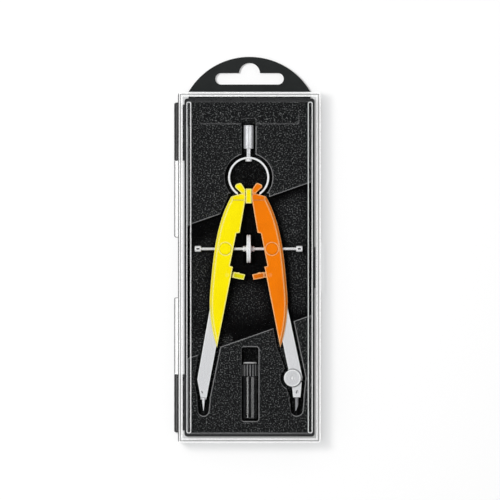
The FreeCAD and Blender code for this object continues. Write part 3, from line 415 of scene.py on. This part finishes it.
LEDGE_NEAR = (LEDGE_Y - 2, LEDGE_Y - 1)
LEDGE_EDGE_SHARE = 0.25
TRAY_SHINE = 0.03
TRAY_GRAIN = 0.4
TRAY_GRAIN_DEPTH = 0.05
TRAY_GRAIN_STRENGTH = 0.7


def open_channel(shader):
    """How far a place lies on the open floor of the channel, away from its walls and the legs: there the
    painted shade of the recesses is lifted.
    """
    across = shader.part_of_place("X")
    along = shader.part_of_place("Y")
    on_floor = shader.falling(shader.apart(shader.part_of_place("Z"), CHANNEL_FLOOR), *FLOOR_NEAR)
    wall_line = shader.math("MULTIPLY_ADD", across, WALL_SLOPE, WALL_RISE * MM)
    beside = shader.product(shader.rising(shader.apart(across, COMPASS_X), *BESIDE_LEGS),
                            shader.rising(shader.math("SUBTRACT", wall_line, along), *WALL_SHADE))
    between = shader.product(shader.falling(along, *BETWEEN_TOP), shader.rising(along, *BETWEEN_FOOT),
                             BETWEEN_SHARE)
    lit = shader.ranged(shader.openness(CHANNEL_REACH), *CHANNEL_OPEN, *CHANNEL_SHARE)
    return shader.product(on_floor, shader.math("MAXIMUM", beside, between), lit)


def arm_pocket(shader):
    """1 in the pockets beside the metal arms, where the light still reaches the floor, else 0."""
    along = shader.part_of_place("Y")
    offset = shader.apart(shader.part_of_place("X"), COMPASS_X)
    return shader.product(shader.rising(along, *ARM_POCKET_FOOT), shader.falling(along, *ARM_POCKET_TOP),
                          shader.rising(offset, *BESIDE_ARMS))


def flocked():
    """The insert: black with small pale flecks, painted shade that makes its recesses deeper black, and a
    painted highlight on the top edges that face the light.
    """
    shader = Shader("flocked_tray")
    height = shader.part_of_place("Z")
    fleck = shader.ranged(shader.noise(FLECK_SIZE, FLECK_DETAIL), *FLECK_SPREAD)
    patch = shader.ranged(shader.noise(TRAY_PATCH, TRAY_DETAIL), *TRAY_PATCH_SPREAD, TRAY_PATCH_LEAST, 1.0)
    # Painted shade: the insert is darker the lower its surface lies, except on the open floors of the
    # channel and of the arm pockets.
    lit = shader.rising(height, *RECESS_HEIGHT, RECESS_LEAST)
    for opened in (open_channel, arm_pocket):
        lit = shader.math("MAXIMUM", lit, opened(shader))
    ground = shader.mixed(lit, TRAY_PAINTED_SHADE, TRAY_DARK)
    body = shader.mixed(shader.product(fleck, patch, lit), ground, TRAY_FLECK)
    # Painted highlight on the insert's top edges that face the light, less below the ledge.
    edge = shader.ranged(shader.edge_turn(TRAY_EDGE_REACH), *TRAY_EDGE_TURN)
    below_ledge = shader.falling(shader.part_of_place("Y"), *LEDGE_NEAR, LEDGE_EDGE_SHARE)
    lit_edge = shader.product(edge, shader.rising(height, *TRAY_TOP),
                              shader.not_facing_right(TRAY_EDGE_REACH), below_ledge)
    shader.set(Base_Color=shader.mixed(lit_edge, body, TRAY_EDGE))
    shader.set(Roughness=shader.ranged(fleck, 0.0, 1.0, *FLECK_ROUGHNESS), Specular_IOR_Level=TRAY_SHINE)
    grain = shader.noise(TRAY_GRAIN, TRAY_DETAIL)
    soft = shader.soft_edges(SOFT_EDGE)
    shader.set(Normal=shader.bump(grain, TRAY_GRAIN_DEPTH, TRAY_GRAIN_STRENGTH, soft))
    return shader.material


# Metal and graphite. Sizes are in millimetres, and a turn is what edge_turn gives.
EDGE_SHINE = 0.1
METAL_EDGE_TURN = (0.006, 0.05)
METAL_OPEN = (0.5, 0.85)
METAL_ROUGHER = 0.08
BRUSH_SPREAD = (0.25, 0.75)
BRUSH_DEPTH = 0.004
BRUSH_STRENGTH = 0.25
RING_PITCH = 0.34
RING_DEPTH = 0.012
RING_STRENGTH = 0.6
RING_SOFT_EDGE = 0.15
TURNED_WEAR = 1.2
TURNED_SHINE = 0.6
TURNED_ROUGHNESS = (0.3, 0.42)
STREAK_SIZE = 0.3
STREAK_STRETCH = (1.0, 0.2, 1.0)
STREAK_DEPTH = 0.01
STREAK_STRENGTH = 0.4
GRAPHITE_SHINE = 0.3
GRAPHITE_ROUGHNESS = (0.38, 0.55)


def metal(name, colour, second, roughness, brush=(1.0, 1.0, 1.0), brush_mm=0.25, edge_mm=1.2, shine=0.6,
          shaded_mm=0.0):
    """Plated metal with fine brushing along one direction, and a painted highlight that makes its edges pale
    and less metallic.
    With a reach for shade, it is painted darker that close to other surfaces, as shade."""
    shader = Shader(name)
    lines = shader.noise(brush_mm, vector=shader.stretched(brush))
    edge = shader.ranged(shader.edge_turn(edge_mm), *METAL_EDGE_TURN)
    face = shader.mixed(shader.ranged(lines, *NOISE_SPREAD), colour, second)
    face = shader.mixed(edge, face, SILVER_EDGE)
    if shaded_mm:
        face = shader.mixed(shader.ranged(shader.openness(shaded_mm), *METAL_OPEN), METAL_SHADE, face)
    rough = shader.ranged(lines, *BRUSH_SPREAD, roughness - SMOOTHER, roughness + METAL_ROUGHER)
    shader.set(Base_Color=face, Roughness=rough)
    shader.set(Metallic=shader.ranged(edge, 0.0, 1.0, shine, EDGE_SHINE))
    shader.set(Normal=shader.bump(lines, BRUSH_DEPTH, BRUSH_STRENGTH, shader.soft_edges(SOFT_EDGE)))
    return shader.material


def turned_metal(name, centre_mm):
    """The face of the knee screw: fine rings from turning."""
    shader = Shader(name)
    away = shader.vector_math("SUBTRACT", shader.place, tuple(value * MM for value in centre_mm))[0]
    reach = shader.vector_math("LENGTH", shader.vector_math("MULTIPLY", away, SIDEWAYS)[0])["Value"]
    rings = shader.math("SINE", shader.product(reach, 2 * math.pi / (RING_PITCH * MM)))
    wear = shader.noise(TURNED_WEAR)
    shader.set(Base_Color=shader.mixed(wear, SILVER, SILVER_DULL), Metallic=TURNED_SHINE)
    shader.set(Roughness=shader.ranged(wear, *NOISE_SPREAD, *TURNED_ROUGHNESS))
    shader.set(Normal=shader.bump(rings, RING_DEPTH, RING_STRENGTH, shader.soft_edges(RING_SOFT_EDGE)))
    return shader.material


def graphite():
    """Drawing leads: grey with fine streaks along them."""
    shader = Shader("graphite")
    streaks = shader.noise(STREAK_SIZE, vector=shader.stretched(STREAK_STRETCH))
    shader.set(Base_Color=shader.mixed(streaks, GRAPHITE, GRAPHITE_DARK), Metallic=GRAPHITE_SHINE)
    shader.set(Roughness=shader.ranged(streaks, *NOISE_SPREAD, *GRAPHITE_ROUGHNESS))
    shader.set(Normal=shader.bump(streaks, STREAK_DEPTH, STREAK_STRENGTH))
    return shader.material


ALONG_Y = (1.0, 0.05, 1.0)
ALONG_X = (0.05, 1.0, 1.0)
LEVER_SHADE = 5.0
ARM_SHADE = 1.6
BUTTON_EDGE = 0.8
CLEAR = clear_plastic()
CASE_BLACK = moulded("black_plastic", BLACK, BLACK_WORN, BLACK, BLACK_EDGE, roughness=0.3, grain_mm=0.6,
                     grain_depth=0.01, shine=0.6)
TAB = moulded("tab_plastic", TAB_GREY, TAB_WORN, TAB_GREY, TAB_GREY, roughness=0.6, grain_mm=0.35,
              grain_depth=0.02)
TRAY = flocked()
YELLOW_PLASTIC = moulded("yellow_plastic", YELLOW, YELLOW_DEEP, YELLOW_LINE, YELLOW_EDGE)
ORANGE_PLASTIC = moulded("orange_plastic", ORANGE, ORANGE_DEEP, ORANGE_LINE, ORANGE_EDGE)
# The levers are painted in shaded copies of the legs' colours, with more painted shade close to other
# surfaces.
YELLOW_LEVER = moulded("yellow_lever", YELLOW_SHADED, YELLOW_SHADED, YELLOW_LINE, YELLOW_EDGE,
                       shaded_mm=LEVER_SHADE)
ORANGE_LEVER = moulded("orange_lever", ORANGE_SHADED, ORANGE_SHADED, ORANGE_LINE, ORANGE_EDGE,
                       shaded_mm=LEVER_SHADE)
YELLOW_BUTTON = moulded("yellow_button", YELLOW, YELLOW, YELLOW_LINE, YELLOW, edge_mm=BUTTON_EDGE)
ORANGE_BUTTON = moulded("orange_button", ORANGE, ORANGE, ORANGE_LINE, ORANGE, edge_mm=BUTTON_EDGE)
BRIGHT = metal("bright_metal", SILVER, SILVER_DULL, 0.5, ALONG_Y)
ARM_METAL = metal("arm_metal", SILVER, SILVER_DULL, 0.5, ALONG_Y, shaded_mm=ARM_SHADE)
POLISHED = metal("polished_metal", SILVER_EDGE, POLISH_DULL, 0.4, ALONG_Y, brush_mm=1.5, shine=0.35)
GRIP_METAL = metal("grip_metal", SILVER, STEEL, 0.24, ALONG_Y, brush_mm=1.1, edge_mm=0.15, shine=0.5)
KNURLED = metal("knurled_metal", SILVER_EDGE, KNURL_DULL, 0.4, shine=0.45)
STEEL_MATERIAL = metal("steel", STEEL, STEEL_DULL, 0.3, ALONG_X)
KNEE_FACE = turned_metal("turned_metal", (KNEE_X, KNEE_Y, COMPASS_Z))
GRAPHITE_MATERIAL = graphite()
TUBE_BLACK = moulded("tube_plastic", TUBE, TUBE, BLACK, BLACK, roughness=0.12, grain_mm=0.8, grain_depth=0.0,
                     shine=0.7)
CAP_RIM = moulded("cap_rim", CAP_EDGE, CAP_EDGE, CAP_EDGE, CAP_EDGE, roughness=0.3)
CAP_RIB = moulded("cap_rib", CAP_CREST, CAP_CREST, CAP_CREST, CAP_CREST, roughness=0.3)
GROOVE_METAL = metal("groove_metal", GRAPHITE, GRAPHITE, 0.4, shine=0.3)
RIM_WHITE = metal("rim_metal", SILVER_EDGE, SILVER_EDGE, 0.35, shine=EDGE_SHINE)
# Painted shade for slots, the screws' slot boxes and the grooves between the cap's ribs.
SLOT_DARK = moulded("slot_shadow", BLACK, BLACK, BLACK, BLACK)

FINISHES = {
    "lid": CLEAR, "case_base": CASE_BLACK, "hang_tab": TAB, "insert_tray": TRAY,
    "spring_ring": POLISHED, "handle": BRIGHT, "handle_nut": BRIGHT, "head_block": YELLOW_PLASTIC,
    "head_pins": STEEL_MATERIAL, "spindle": STEEL_MATERIAL, "thumb_wheel": BRIGHT, "spindle_caps": BRIGHT,
    "needle": POLISHED, "needle_screw": STEEL_MATERIAL, "lead_holder": ARM_METAL, "lead": GRAPHITE_MATERIAL,
    "lead_screw": STEEL_MATERIAL, "knee_screw": KNEE_FACE, "knee_nut": STEEL_MATERIAL,
    "lead_tube": TUBE_BLACK, "lead_tube_cap": TUBE_BLACK, "spare_leads": GRAPHITE_MATERIAL,
}
SIDES = (("left", YELLOW_PLASTIC, YELLOW_LEVER, YELLOW_BUTTON),
         ("right", ORANGE_PLASTIC, ORANGE_LEVER, ORANGE_BUTTON))
for side, plastic, lever, button in SIDES:
    FINISHES[side + "_leg_shell"] = plastic
    FINISHES[side + "_lever"] = lever
    FINISHES[side + "_trunnion"] = button
    FINISHES[side + "_leg_arm"] = ARM_METAL
    for piece in ("_leg_rivets", "_lever_pin", "_lever_spring"):
        FINISHES[side + piece] = STEEL_MATERIAL

for name, material in FINISHES.items():
    nodes[name].data.materials.clear()
    nodes[name].data.materials.append(material)


# Pieces with more relief than their solids, in place of them: threads, knurls, ribs, rings and slots.
# Their sizes are in millimetres, and a profile lists pairs of radius and place along the axis.

AXES = {
    "X": (Vector((1, 0, 0)), Vector((0, 1, 0)), Vector((0, 0, 1))),
    "Y": (Vector((0, 1, 0)), Vector((0, 0, 1)), Vector((1, 0, 0))),
    "Z": (Vector((0, 0, 1)), Vector((1, 0, 0)), Vector((0, 1, 0))),
}
BODY_OF = {node: body for body, names in frame["record"]["behaviour"]["bodies"].items() for node in names}
ROUND_STEPS = 96
TOOTH_STEPS = 4
POLE = 0.01
SLACK = 0.01
HALF_STEP = 0.05
SHARP_ANGLE = 38


def finished_piece(name, vertices, faces, node, materials, slot, replaced=True):
    """A piece made of those vertices and faces that rides as the CAD node does."""
    mesh = bpy.data.meshes.new(name)
    mesh.from_pydata(vertices, [], faces)
    editable = bmesh.new()
    editable.from_mesh(mesh)
    bmesh.ops.recalc_face_normals(editable, faces=editable.faces)
    editable.to_mesh(mesh)
    editable.free()
    mesh.shade_smooth()
    mesh.set_sharp_from_angle(angle=math.radians(SHARP_ANGLE))
    for material in materials:
        mesh.materials.append(material)
    piece = bpy.data.objects.new(name, mesh)
    bpy.context.scene.collection.objects.link(piece)
    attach(piece, BODY_OF[node])
    if replaced:
        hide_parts(node)
    return piece


def turned_mesh(origin, axis, profile, steps=ROUND_STEPS, relief=None):
    """Vertices and faces of a closed turned solid. The profile's places are counted from the origin, and
    relief(along, angle) says how far the surface is sunk there."""
    ahead, across, up = AXES[axis]
    vertices = []
    faces = []
    for radius, along in profile:
        for step in range(steps):
            angle = 2 * math.pi * step / steps
            reach = radius - (relief(along, angle) if relief else 0.0)
            spoke = across * math.cos(angle) + up * math.sin(angle)
            vertices.append(origin + (ahead * along + spoke * reach) * MM)
    for row in range(len(profile) - 1):
        for step in range(steps):
            beside = (step + 1) % steps
            low, high = row * steps, (row + 1) * steps
            faces.append((low + step, low + beside, high + beside, high + step))
    faces.append(tuple(range(steps)))
    faces.append(tuple(range(len(vertices) - steps, len(vertices))))
    return vertices, faces


def toothed(count, depth, low, high):
    """Relief of straight teeth round a piece, between two places along its axis."""
    def relief(along, angle):
        return depth * (0.5 - 0.5 * math.cos(count * angle)) if low <= along <= high else 0.0
    return relief


def stepped(radius, places):
    """Rows of a profile just before and just after each place, for a relief that starts or ends there."""
    return [(radius, place + step) for place in places for step in (-HALF_STEP, HALF_STEP)]


WHEEL_HUB_LENGTH = 2.2
WHEEL_RADIUS = 8.25
WHEEL_CHAMFER = 0.4
WHEEL_TEETH = 54
WHEEL_KNURL_DEPTH = 0.3


def make_thumb_wheel():
    """Wheel with a knurled, grooved rim, dished sides and a grooved hub."""
    low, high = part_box("thumb_wheel")
    hub = (high.x - low.x) / 2 / MM
    rim = hub - WHEEL_HUB_LENGTH
    knurl = rim - WHEEL_CHAMFER
    shoulder = WHEEL_RADIUS - WHEEL_CHAMFER
    half = [(POLE, hub), (1.4, hub), (1.74, hub - 0.95), (1.3, hub - 1.15), (1.3, rim + 0.55),
            (2.1, rim + 0.25), (2.2, rim), (2.9, rim), (3.1, rim - 0.3), (6.7, rim - 0.3), (6.9, rim),
            (shoulder, rim), (WHEEL_RADIUS, knurl), (WHEEL_RADIUS, 0.35), (shoulder, 0.2)]
    profile = half + [(radius, -along) for radius, along in reversed(half)]
    relief = toothed(WHEEL_TEETH, WHEEL_KNURL_DEPTH, -knurl - SLACK, knurl + SLACK)
    mesh = turned_mesh((low + high) / 2, "X", profile, WHEEL_TEETH * TOOTH_STEPS, relief)
    finished_piece("knurled_wheel", *mesh, "thumb_wheel", [KNURLED], "bright_metal")


THREAD_PITCH = 0.5
THREAD_DEPTH = 0.24
THREAD_STEPS = 16
THREAD_SINK = 0.05
RIDGE_FOOT = 0.3
RIDGE_CREST = 0.08
HUB_HALF = 3.2


def make_spindle():
    """Spindle with a right-hand thread on one side of the wheel and a left-hand thread on the other."""
    low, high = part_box("spindle")
    origin = (low + high) / 2
    half_length = (high.x - low.x) / 2 / MM
    crest = (high.z - low.z) / 2 / MM
    root = crest - THREAD_DEPTH
    profile = [(POLE, -half_length), (root, -half_length), (root, half_length), (POLE, half_length)]
    vertices, faces = turned_mesh(origin, "X", profile, THREAD_STEPS)
    ahead, across, up = AXES["X"]
    ridge = [(root - THREAD_SINK, -RIDGE_FOOT), (crest, -RIDGE_CREST), (crest, RIDGE_CREST),
             (root - THREAD_SINK, RIDGE_FOOT)]
    corners = len(ridge)
    count = int((half_length - HUB_HALF - THREAD_PITCH) / THREAD_PITCH * THREAD_STEPS)
    for hand in (-1, 1):
        first = len(vertices)
        for step in range(count + 1):
            angle = 2 * math.pi * step / THREAD_STEPS
            spoke = across * math.cos(angle) + up * math.sin(angle)
            for reach, shift in ridge:
                along = hand * (HUB_HALF + THREAD_PITCH * (step / THREAD_STEPS + shift))
                vertices.append(origin + (ahead * along + spoke * reach) * MM)
        for step in range(count):
            start = first + step * corners
            for corner in range(corners):
                beside = (corner + 1) % corners
                after = start + corners
                faces.append((start + corner, start + beside, after + beside, after + corner))
        faces.append(tuple(first + corner for corner in range(corners)))
        faces.append(tuple(len(vertices) - corners + corner for corner in range(corners)))
    finished_piece("threaded_spindle", vertices, faces, "spindle", [KNURLED], "steel")


CAP_LENGTH = 3.7
CAP_SLOT = (1.0, 2.75)
CAP_SLOT_DEPTH = 0.55
CAP_SLOT_TURN = 0.2
CAP_SLOT_SHARE = 0.4


def slotted(side):
    """Relief of the slot in the upper side of a cap whose length runs to that side."""
    def relief(along, angle):
        upward = abs(angle - math.pi / 2) < CAP_SLOT_TURN
        return CAP_SLOT_DEPTH if upward and CAP_SLOT[0] < along * side < CAP_SLOT[1] else 0.0
    return relief


def make_spindle_caps():
    """End caps of the spindle, each with a short slot on its upper side, painted dark as shade."""
    low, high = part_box("spindle_caps")
    middle = (low + high) / 2
    radius = (high.z - low.z) / 2 / MM
    rows = [(POLE, 0.0), (radius - 0.55, 0.0), (radius - 0.15, 0.15), (radius, 0.45)]
    rows += stepped(radius, CAP_SLOT)
    rows += [(radius, CAP_LENGTH - 0.3), (radius - 0.3, CAP_LENGTH), (POLE, CAP_LENGTH)]
    finishes = [RIM_WHITE, SLOT_DARK]
    sunk = (radius - CAP_SLOT_DEPTH * CAP_SLOT_SHARE) * MM
    for name, side, end in (("left", 1, low.x), ("right", -1, high.x)):
        origin = Vector((end, middle.y, middle.z))
        profile = [(reach, along * side) for reach, along in rows]
        vertices, faces = turned_mesh(origin, "X", profile, ROUND_STEPS, slotted(side))
        cap = finished_piece("spindle_cap_" + name, vertices, faces, "spindle_caps", finishes,
                             "bright_metal", side == 1)
        for face in cap.data.polygons:
            away = face.center - origin
            inside = CAP_SLOT[0] * MM < away.x * side < CAP_SLOT[1] * MM
            if inside and away.z > 0 and math.hypot(away.y, away.z) < sunk:
                face.material_index = finishes.index(SLOT_DARK)


KNEE_SHANK = 1.5
KNEE_CHAMFER = 0.2
KNEE_GROOVE = (0.75, 1.35)
KNEE_RIM = 0.9
KNEE_TEETH = 44
KNEE_KNURL_DEPTH = 0.2
KNEE_KNURL = (-1.75, -0.4)


def make_knee_screw():
    """Thumb screw at the knee: knurled side, raised rim, dished face and a domed centre in a ring."""
    low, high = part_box("knee_screw")
    origin = Vector(((low.x + high.x) / 2, (low.y + high.y) / 2, high.z))
    length = (high.z - low.z) / MM
    radius = (high.x - low.x) / 2 / MM
    inner, outer = KNEE_GROOVE
    foot, top = KNEE_KNURL
    under = foot - KNEE_CHAMFER
    profile = [(POLE, -length), (KNEE_SHANK, -length), (KNEE_SHANK, under), (radius - KNEE_CHAMFER, under),
               (radius, foot), (radius, top), (radius - 0.35, 0.0), (radius - KNEE_RIM + 0.1, 0.0),
               (radius - KNEE_RIM - 0.05, -0.25), (outer + 0.05, -0.25), (outer - 0.05, -0.65),
               (inner + 0.1, -0.65), (inner - 0.05, -0.15), (0.4, -0.02), (POLE, 0.0)]
    relief = toothed(KNEE_TEETH, KNEE_KNURL_DEPTH, foot - SLACK, top + SLACK)
    mesh = turned_mesh(origin, "Z", profile, KNEE_TEETH * TOOTH_STEPS, relief)
    # The rim and the domed centre are painted pale as highlights, and the groove round the centre darker as
    # painted shade.
    finishes = [KNEE_FACE, RIM_WHITE, GROOVE_METAL]
    screw = finished_piece("knurled_knee_screw", *mesh, "knee_screw", finishes, "bright_metal")
    for face in screw.data.polygons:
        reach = (face.center - origin).xy.length / MM
        if reach < inner or reach > radius - KNEE_RIM:
            face.material_index = finishes.index(RIM_WHITE)
        elif reach < outer:
            face.material_index = finishes.index(GROOVE_METAL)


PLUG_RADIUS = 3.2
PLUG_END = -8.9
RIB_ENDS = (-8.3, -1.75)
RIB_COUNT = 16
RIB_DEPTH = 0.4
RIB_STEPS = 10
CREST_SHARE = 0.12
PALE_END = (-1.05, -0.35)


def make_tube_cap():
    """Ribbed cap of the tube, with its plug. The ribs' crests and the chamfered end are painted pale as
    highlights, and the grooves between the ribs dark as painted shade.
    """
    low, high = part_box("lead_tube_cap")
    origin = Vector(((low.x + high.x) / 2, high.y, (low.z + high.z) / 2))
    length = (high.y - low.y) / MM
    radius = (high.x - low.x) / 2 / MM
    profile = [(POLE, -length), (PLUG_RADIUS, -length), (PLUG_RADIUS, PLUG_END), (radius - 0.15, PLUG_END),
               (radius, PLUG_END + 0.15)]
    profile += stepped(radius, RIB_ENDS)
    profile += [(radius, -1.3), (radius - 0.35, -1.1), (radius - 1.1, -0.3), (radius - 1.35, 0.0)]
    profile += [(POLE, 0.0)]
    relief = toothed(RIB_COUNT, RIB_DEPTH, *RIB_ENDS)
    mesh = turned_mesh(origin, "Y", profile, RIB_COUNT * RIB_STEPS, relief)
    finishes = [TUBE_BLACK, CAP_RIM, CAP_RIB, SLOT_DARK]
    cap = finished_piece("ribbed_tube_cap", *mesh, "lead_tube_cap", finishes, "tube_plastic")
    for face in cap.data.polygons:
        away = (face.center - origin) / MM
        if PALE_END[0] < away.y < PALE_END[1]:
            face.material_index = finishes.index(CAP_RIM)
        elif RIB_ENDS[0] < away.y < RIB_ENDS[1]:
            on_crest = math.hypot(away.x, away.z) > radius - RIB_DEPTH * CREST_SHARE
            face.material_index = finishes.index(CAP_RIB if on_crest else SLOT_DARK)


GRIP_LENGTH = 13.7
NECK_LENGTH = 4.8
NECK_RADIUS = 1.3
NECK_GROOVE_RADIUS = 1.15
STUD_RADIUS = 0.85
TOP_BAND = 1.4
END_BAND = 1.6
BAND_GROOVE = 0.2
HANDLE_TEETH = 44
HANDLE_KNURL_DEPTH = 0.04


def make_handle():
    """Handle: knurled grip between two plain bands, collar, neck and stud."""
    low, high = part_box("handle")
    origin = Vector(((low.x + high.x) / 2, high.y, (low.z + high.z) / 2))
    length = (high.y - low.y) / MM
    radius = (high.x - low.x) / 2 / MM
    groove = radius - BAND_GROOVE
    knurl = (END_BAND - GRIP_LENGTH, -TOP_BAND)
    profile = [(POLE, 0.0), (radius - 0.25, 0.0), (radius, -0.25), (radius, -1.1), (groove, -1.2),
               (groove, -1.35), (radius, knurl[1] - HALF_STEP), (radius, knurl[0] + HALF_STEP)]
    end_band = [(groove, 1.55), (groove, 1.4), (radius, 1.3), (radius, 0.25), (radius - 0.25, 0.0)]
    profile += [(reach, place - GRIP_LENGTH) for reach, place in end_band]
    neck = [(NECK_RADIUS, 0.0), (NECK_RADIUS, 3.4), (NECK_GROOVE_RADIUS, 3.5), (NECK_GROOVE_RADIUS, 3.8),
            (NECK_RADIUS, 3.9), (NECK_RADIUS, NECK_LENGTH), (STUD_RADIUS, NECK_LENGTH)]
    profile += [(reach, -GRIP_LENGTH - place) for reach, place in neck]
    profile += [(STUD_RADIUS, -length), (POLE, -length)]
    relief = toothed(HANDLE_TEETH, HANDLE_KNURL_DEPTH, *knurl)
    mesh = turned_mesh(origin, "Y", profile, HANDLE_TEETH * TOOTH_STEPS, relief)
    finished_piece("knurled_handle", *mesh, "handle", [GRIP_METAL], "bright_metal")


SCREW_SLOT = 0.38
SCREW_SLOT_SHARE = 0.86
SCREW_SLOT_HEIGHTS = (-0.4, -0.02)
SCREW_DOME = 0.06
BOX_FACES = [(0, 1, 2, 3), (4, 5, 6, 7), (0, 1, 5, 4), (1, 2, 6, 5), (2, 3, 7, 6), (3, 0, 4, 7)]


def make_clamp_screw(node, turn):
    """Clamp screw whose head holds a dark box as its slot, painted shade where the slot would be, turned by
    that many degrees.
    """
    low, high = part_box(node)
    origin = Vector(((low.x + high.x) / 2, (low.y + high.y) / 2, high.z))
    radius = (high.x - low.x) / 2 / MM
    length = (high.z - low.z) / MM
    profile = [(POLE, -length), (radius, -length), (radius, -0.25), (radius - 0.2, -SCREW_DOME),
               (POLE, -SCREW_DOME)]
    finished_piece("slotted_" + node, *turned_mesh(origin, "Z", profile), node, [STEEL_MATERIAL], "steel")
    ahead = Vector((math.cos(math.radians(turn)), math.sin(math.radians(turn)), 0))
    aside = Vector((-ahead.y, ahead.x, 0))
    half_length = ahead * radius * SCREW_SLOT_SHARE
    half_width = aside * SCREW_SLOT / 2
    outline = [-half_length - half_width, half_length - half_width, half_length + half_width,
               half_width - half_length]
    vertices = []
    for depth in SCREW_SLOT_HEIGHTS:
        vertices += [origin + (corner + Vector((0, 0, depth))) * MM for corner in outline]
    finished_piece("slot_of_" + node, vertices, BOX_FACES, node, [SLOT_DARK], "steel", False)


make_clamp_screw("needle_screw", 115)
make_clamp_screw("lead_screw", 70)
make_thumb_wheel()
make_spindle()
make_spindle_caps()
make_knee_screw()
make_tube_cap()
make_handle()


# Stage: pale floor, white surroundings and soft light from the upper left. Lengths are in metres.

FLOOR_SIZE = 4.0
FLOOR_HEIGHT = -0.0001
FLOOR_GLOW = 0.35
AMBIENT = 0.42
KEY_POWER = 20.5
KEY_PLACE = (-0.44, 0.22, 1.5)
KEY_SIZE = (0.3, 0.3)
# Power, place and size of each
SOFT_BOXES = {
    "left_box": (4.2, (-0.95, -0.1, 1.13), (0.4, 0.65)),
    "right_box": (4.0, (0.95, -0.1, 1.13), (0.4, 1.25)),
}
# Pairs of height, from level to straight up, and grey
SKY = ((0.0, 0.12), (0.3, 0.32), (0.80, 0.36), (0.91, 1.0), (0.965, 1.0), (0.985, 0.03))
SKY_SIDES = 0.25
SKY_SPREAD = (0.12, 0.4)
CAMERA_HEIGHT = 8.0
SENSOR_WIDTH = 36.0
FRAME_WIDTH = 0.2926
FRAME_CENTRE = (0.00029, 0.01022)


def seen_share(graph):
    """1 for rays that show the surroundings to the eye, straight or by metal and glass, else 0."""
    path = graph.node("ShaderNodeLightPath").outputs
    total = path["Is Camera Ray"]
    for name in ("Is Glossy Ray", "Is Transmission Ray"):
        total = graph.math("MAXIMUM", total, path[name])
    not_scattered = graph.math("LESS_THAN", path["Diffuse Depth"], 0.5)
    return graph.product(total, not_scattered)


def make_world():
    """White to the eye, banded greys in metal and glass, and an even light on everything else."""
    world = bpy.data.worlds.new("studio")
    bpy.context.scene.world = world
    graph = Graph(world)
    direction = graph.node("ShaderNodeTexCoord").outputs["Generated"]
    shades = graph.node("ShaderNodeValToRGB")
    while len(shades.color_ramp.elements) < len(SKY):
        shades.color_ramp.elements.new(0.5)
    for stop, (position, grey) in zip(shades.color_ramp.elements, SKY):
        stop.position = position
        stop.color = (grey, grey, grey, 1)
    graph.feed(shades.inputs["Fac"], graph.part_of(direction, "Z"))
    ahead = graph.math("ABSOLUTE", graph.part_of(direction, "Y"))
    sky = graph.node("ShaderNodeVectorMath", operation="SCALE")
    graph.feed(sky.inputs[0], shades.outputs["Color"])
    graph.feed(sky.inputs["Scale"], graph.ranged(ahead, *SKY_SPREAD, SKY_SIDES, 1.0))
    to_eye = graph.node("ShaderNodeLightPath").outputs["Is Camera Ray"]
    light = graph.node("ShaderNodeBackground")
    light.inputs["Strength"].default_value = AMBIENT
    seen = graph.node("ShaderNodeBackground")
    graph.feed(seen.inputs["Color"], graph.mixed(to_eye, sky.outputs["Vector"], WHITE))
    surface = graph.blended(seen_share(graph), light.outputs[0], seen.outputs[0])
    graph.feed(graph.node("ShaderNodeOutputWorld").inputs["Surface"], surface)


def make_floor():
    """Pale floor that glows a little to the eye, so that it nears white and still takes shadows."""
    mesh = bpy.data.meshes.new("floor")
    half = FLOOR_SIZE / 2
    corners = [(-half, -half, 0), (half, -half, 0), (half, half, 0), (-half, half, 0)]
    mesh.from_pydata(corners, [], [(0, 1, 2, 3)])
    floor = bpy.data.objects.new("floor", mesh)
    floor.location.z = FLOOR_HEIGHT
    bpy.context.scene.collection.objects.link(floor)
    material = bpy.data.materials.new("pale_floor")
    graph = Graph(material)
    diffuse = graph.node("ShaderNodeBsdfDiffuse")
    graph.feed(diffuse.inputs["Color"], FLOOR_COLOUR)
    plain = diffuse.outputs[0]
    glow = graph.node("ShaderNodeEmission")
    glow.inputs["Strength"].default_value = 1.0
    surface = graph.blended(seen_share(graph), plain, graph.blended(FLOOR_GLOW, plain, glow.outputs[0]))
    graph.feed(graph.node("ShaderNodeOutputMaterial").inputs["Surface"], surface)
    mesh.materials.append(material)


def make_lamp(name, power, place, size):
    """Area lamp that points at the origin."""
    lamp = bpy.data.lights.new(name, "AREA")
    lamp.energy = power
    lamp.shape = "RECTANGLE"
    lamp.size, lamp.size_y = size
    holder = bpy.data.objects.new(name, lamp)
    holder.location = place
    holder.rotation_mode = "QUATERNION"
    holder.rotation_quaternion = (-Vector(place)).to_track_quat("-Z", "Y")
    bpy.context.scene.collection.objects.link(holder)
    return holder


def make_camera():
    """Camera straight above, far enough away for an almost flat view."""
    data = bpy.data.cameras.new("camera")
    data.sensor_width = SENSOR_WIDTH
    data.lens = data.sensor_width * CAMERA_HEIGHT / FRAME_WIDTH
    camera = bpy.data.objects.new("camera", data)
    camera.location = (*FRAME_CENTRE, CAMERA_HEIGHT)
    bpy.context.scene.collection.objects.link(camera)
    bpy.context.scene.camera = camera


make_world()
make_floor()
make_lamp("key", KEY_POWER, KEY_PLACE, KEY_SIZE).visible_glossy = False
for name, (power, place, size) in SOFT_BOXES.items():
    make_lamp(name, power, place, size).visible_diffuse = False
make_camera()
bpy.context.scene.view_settings.view_transform = "Standard"
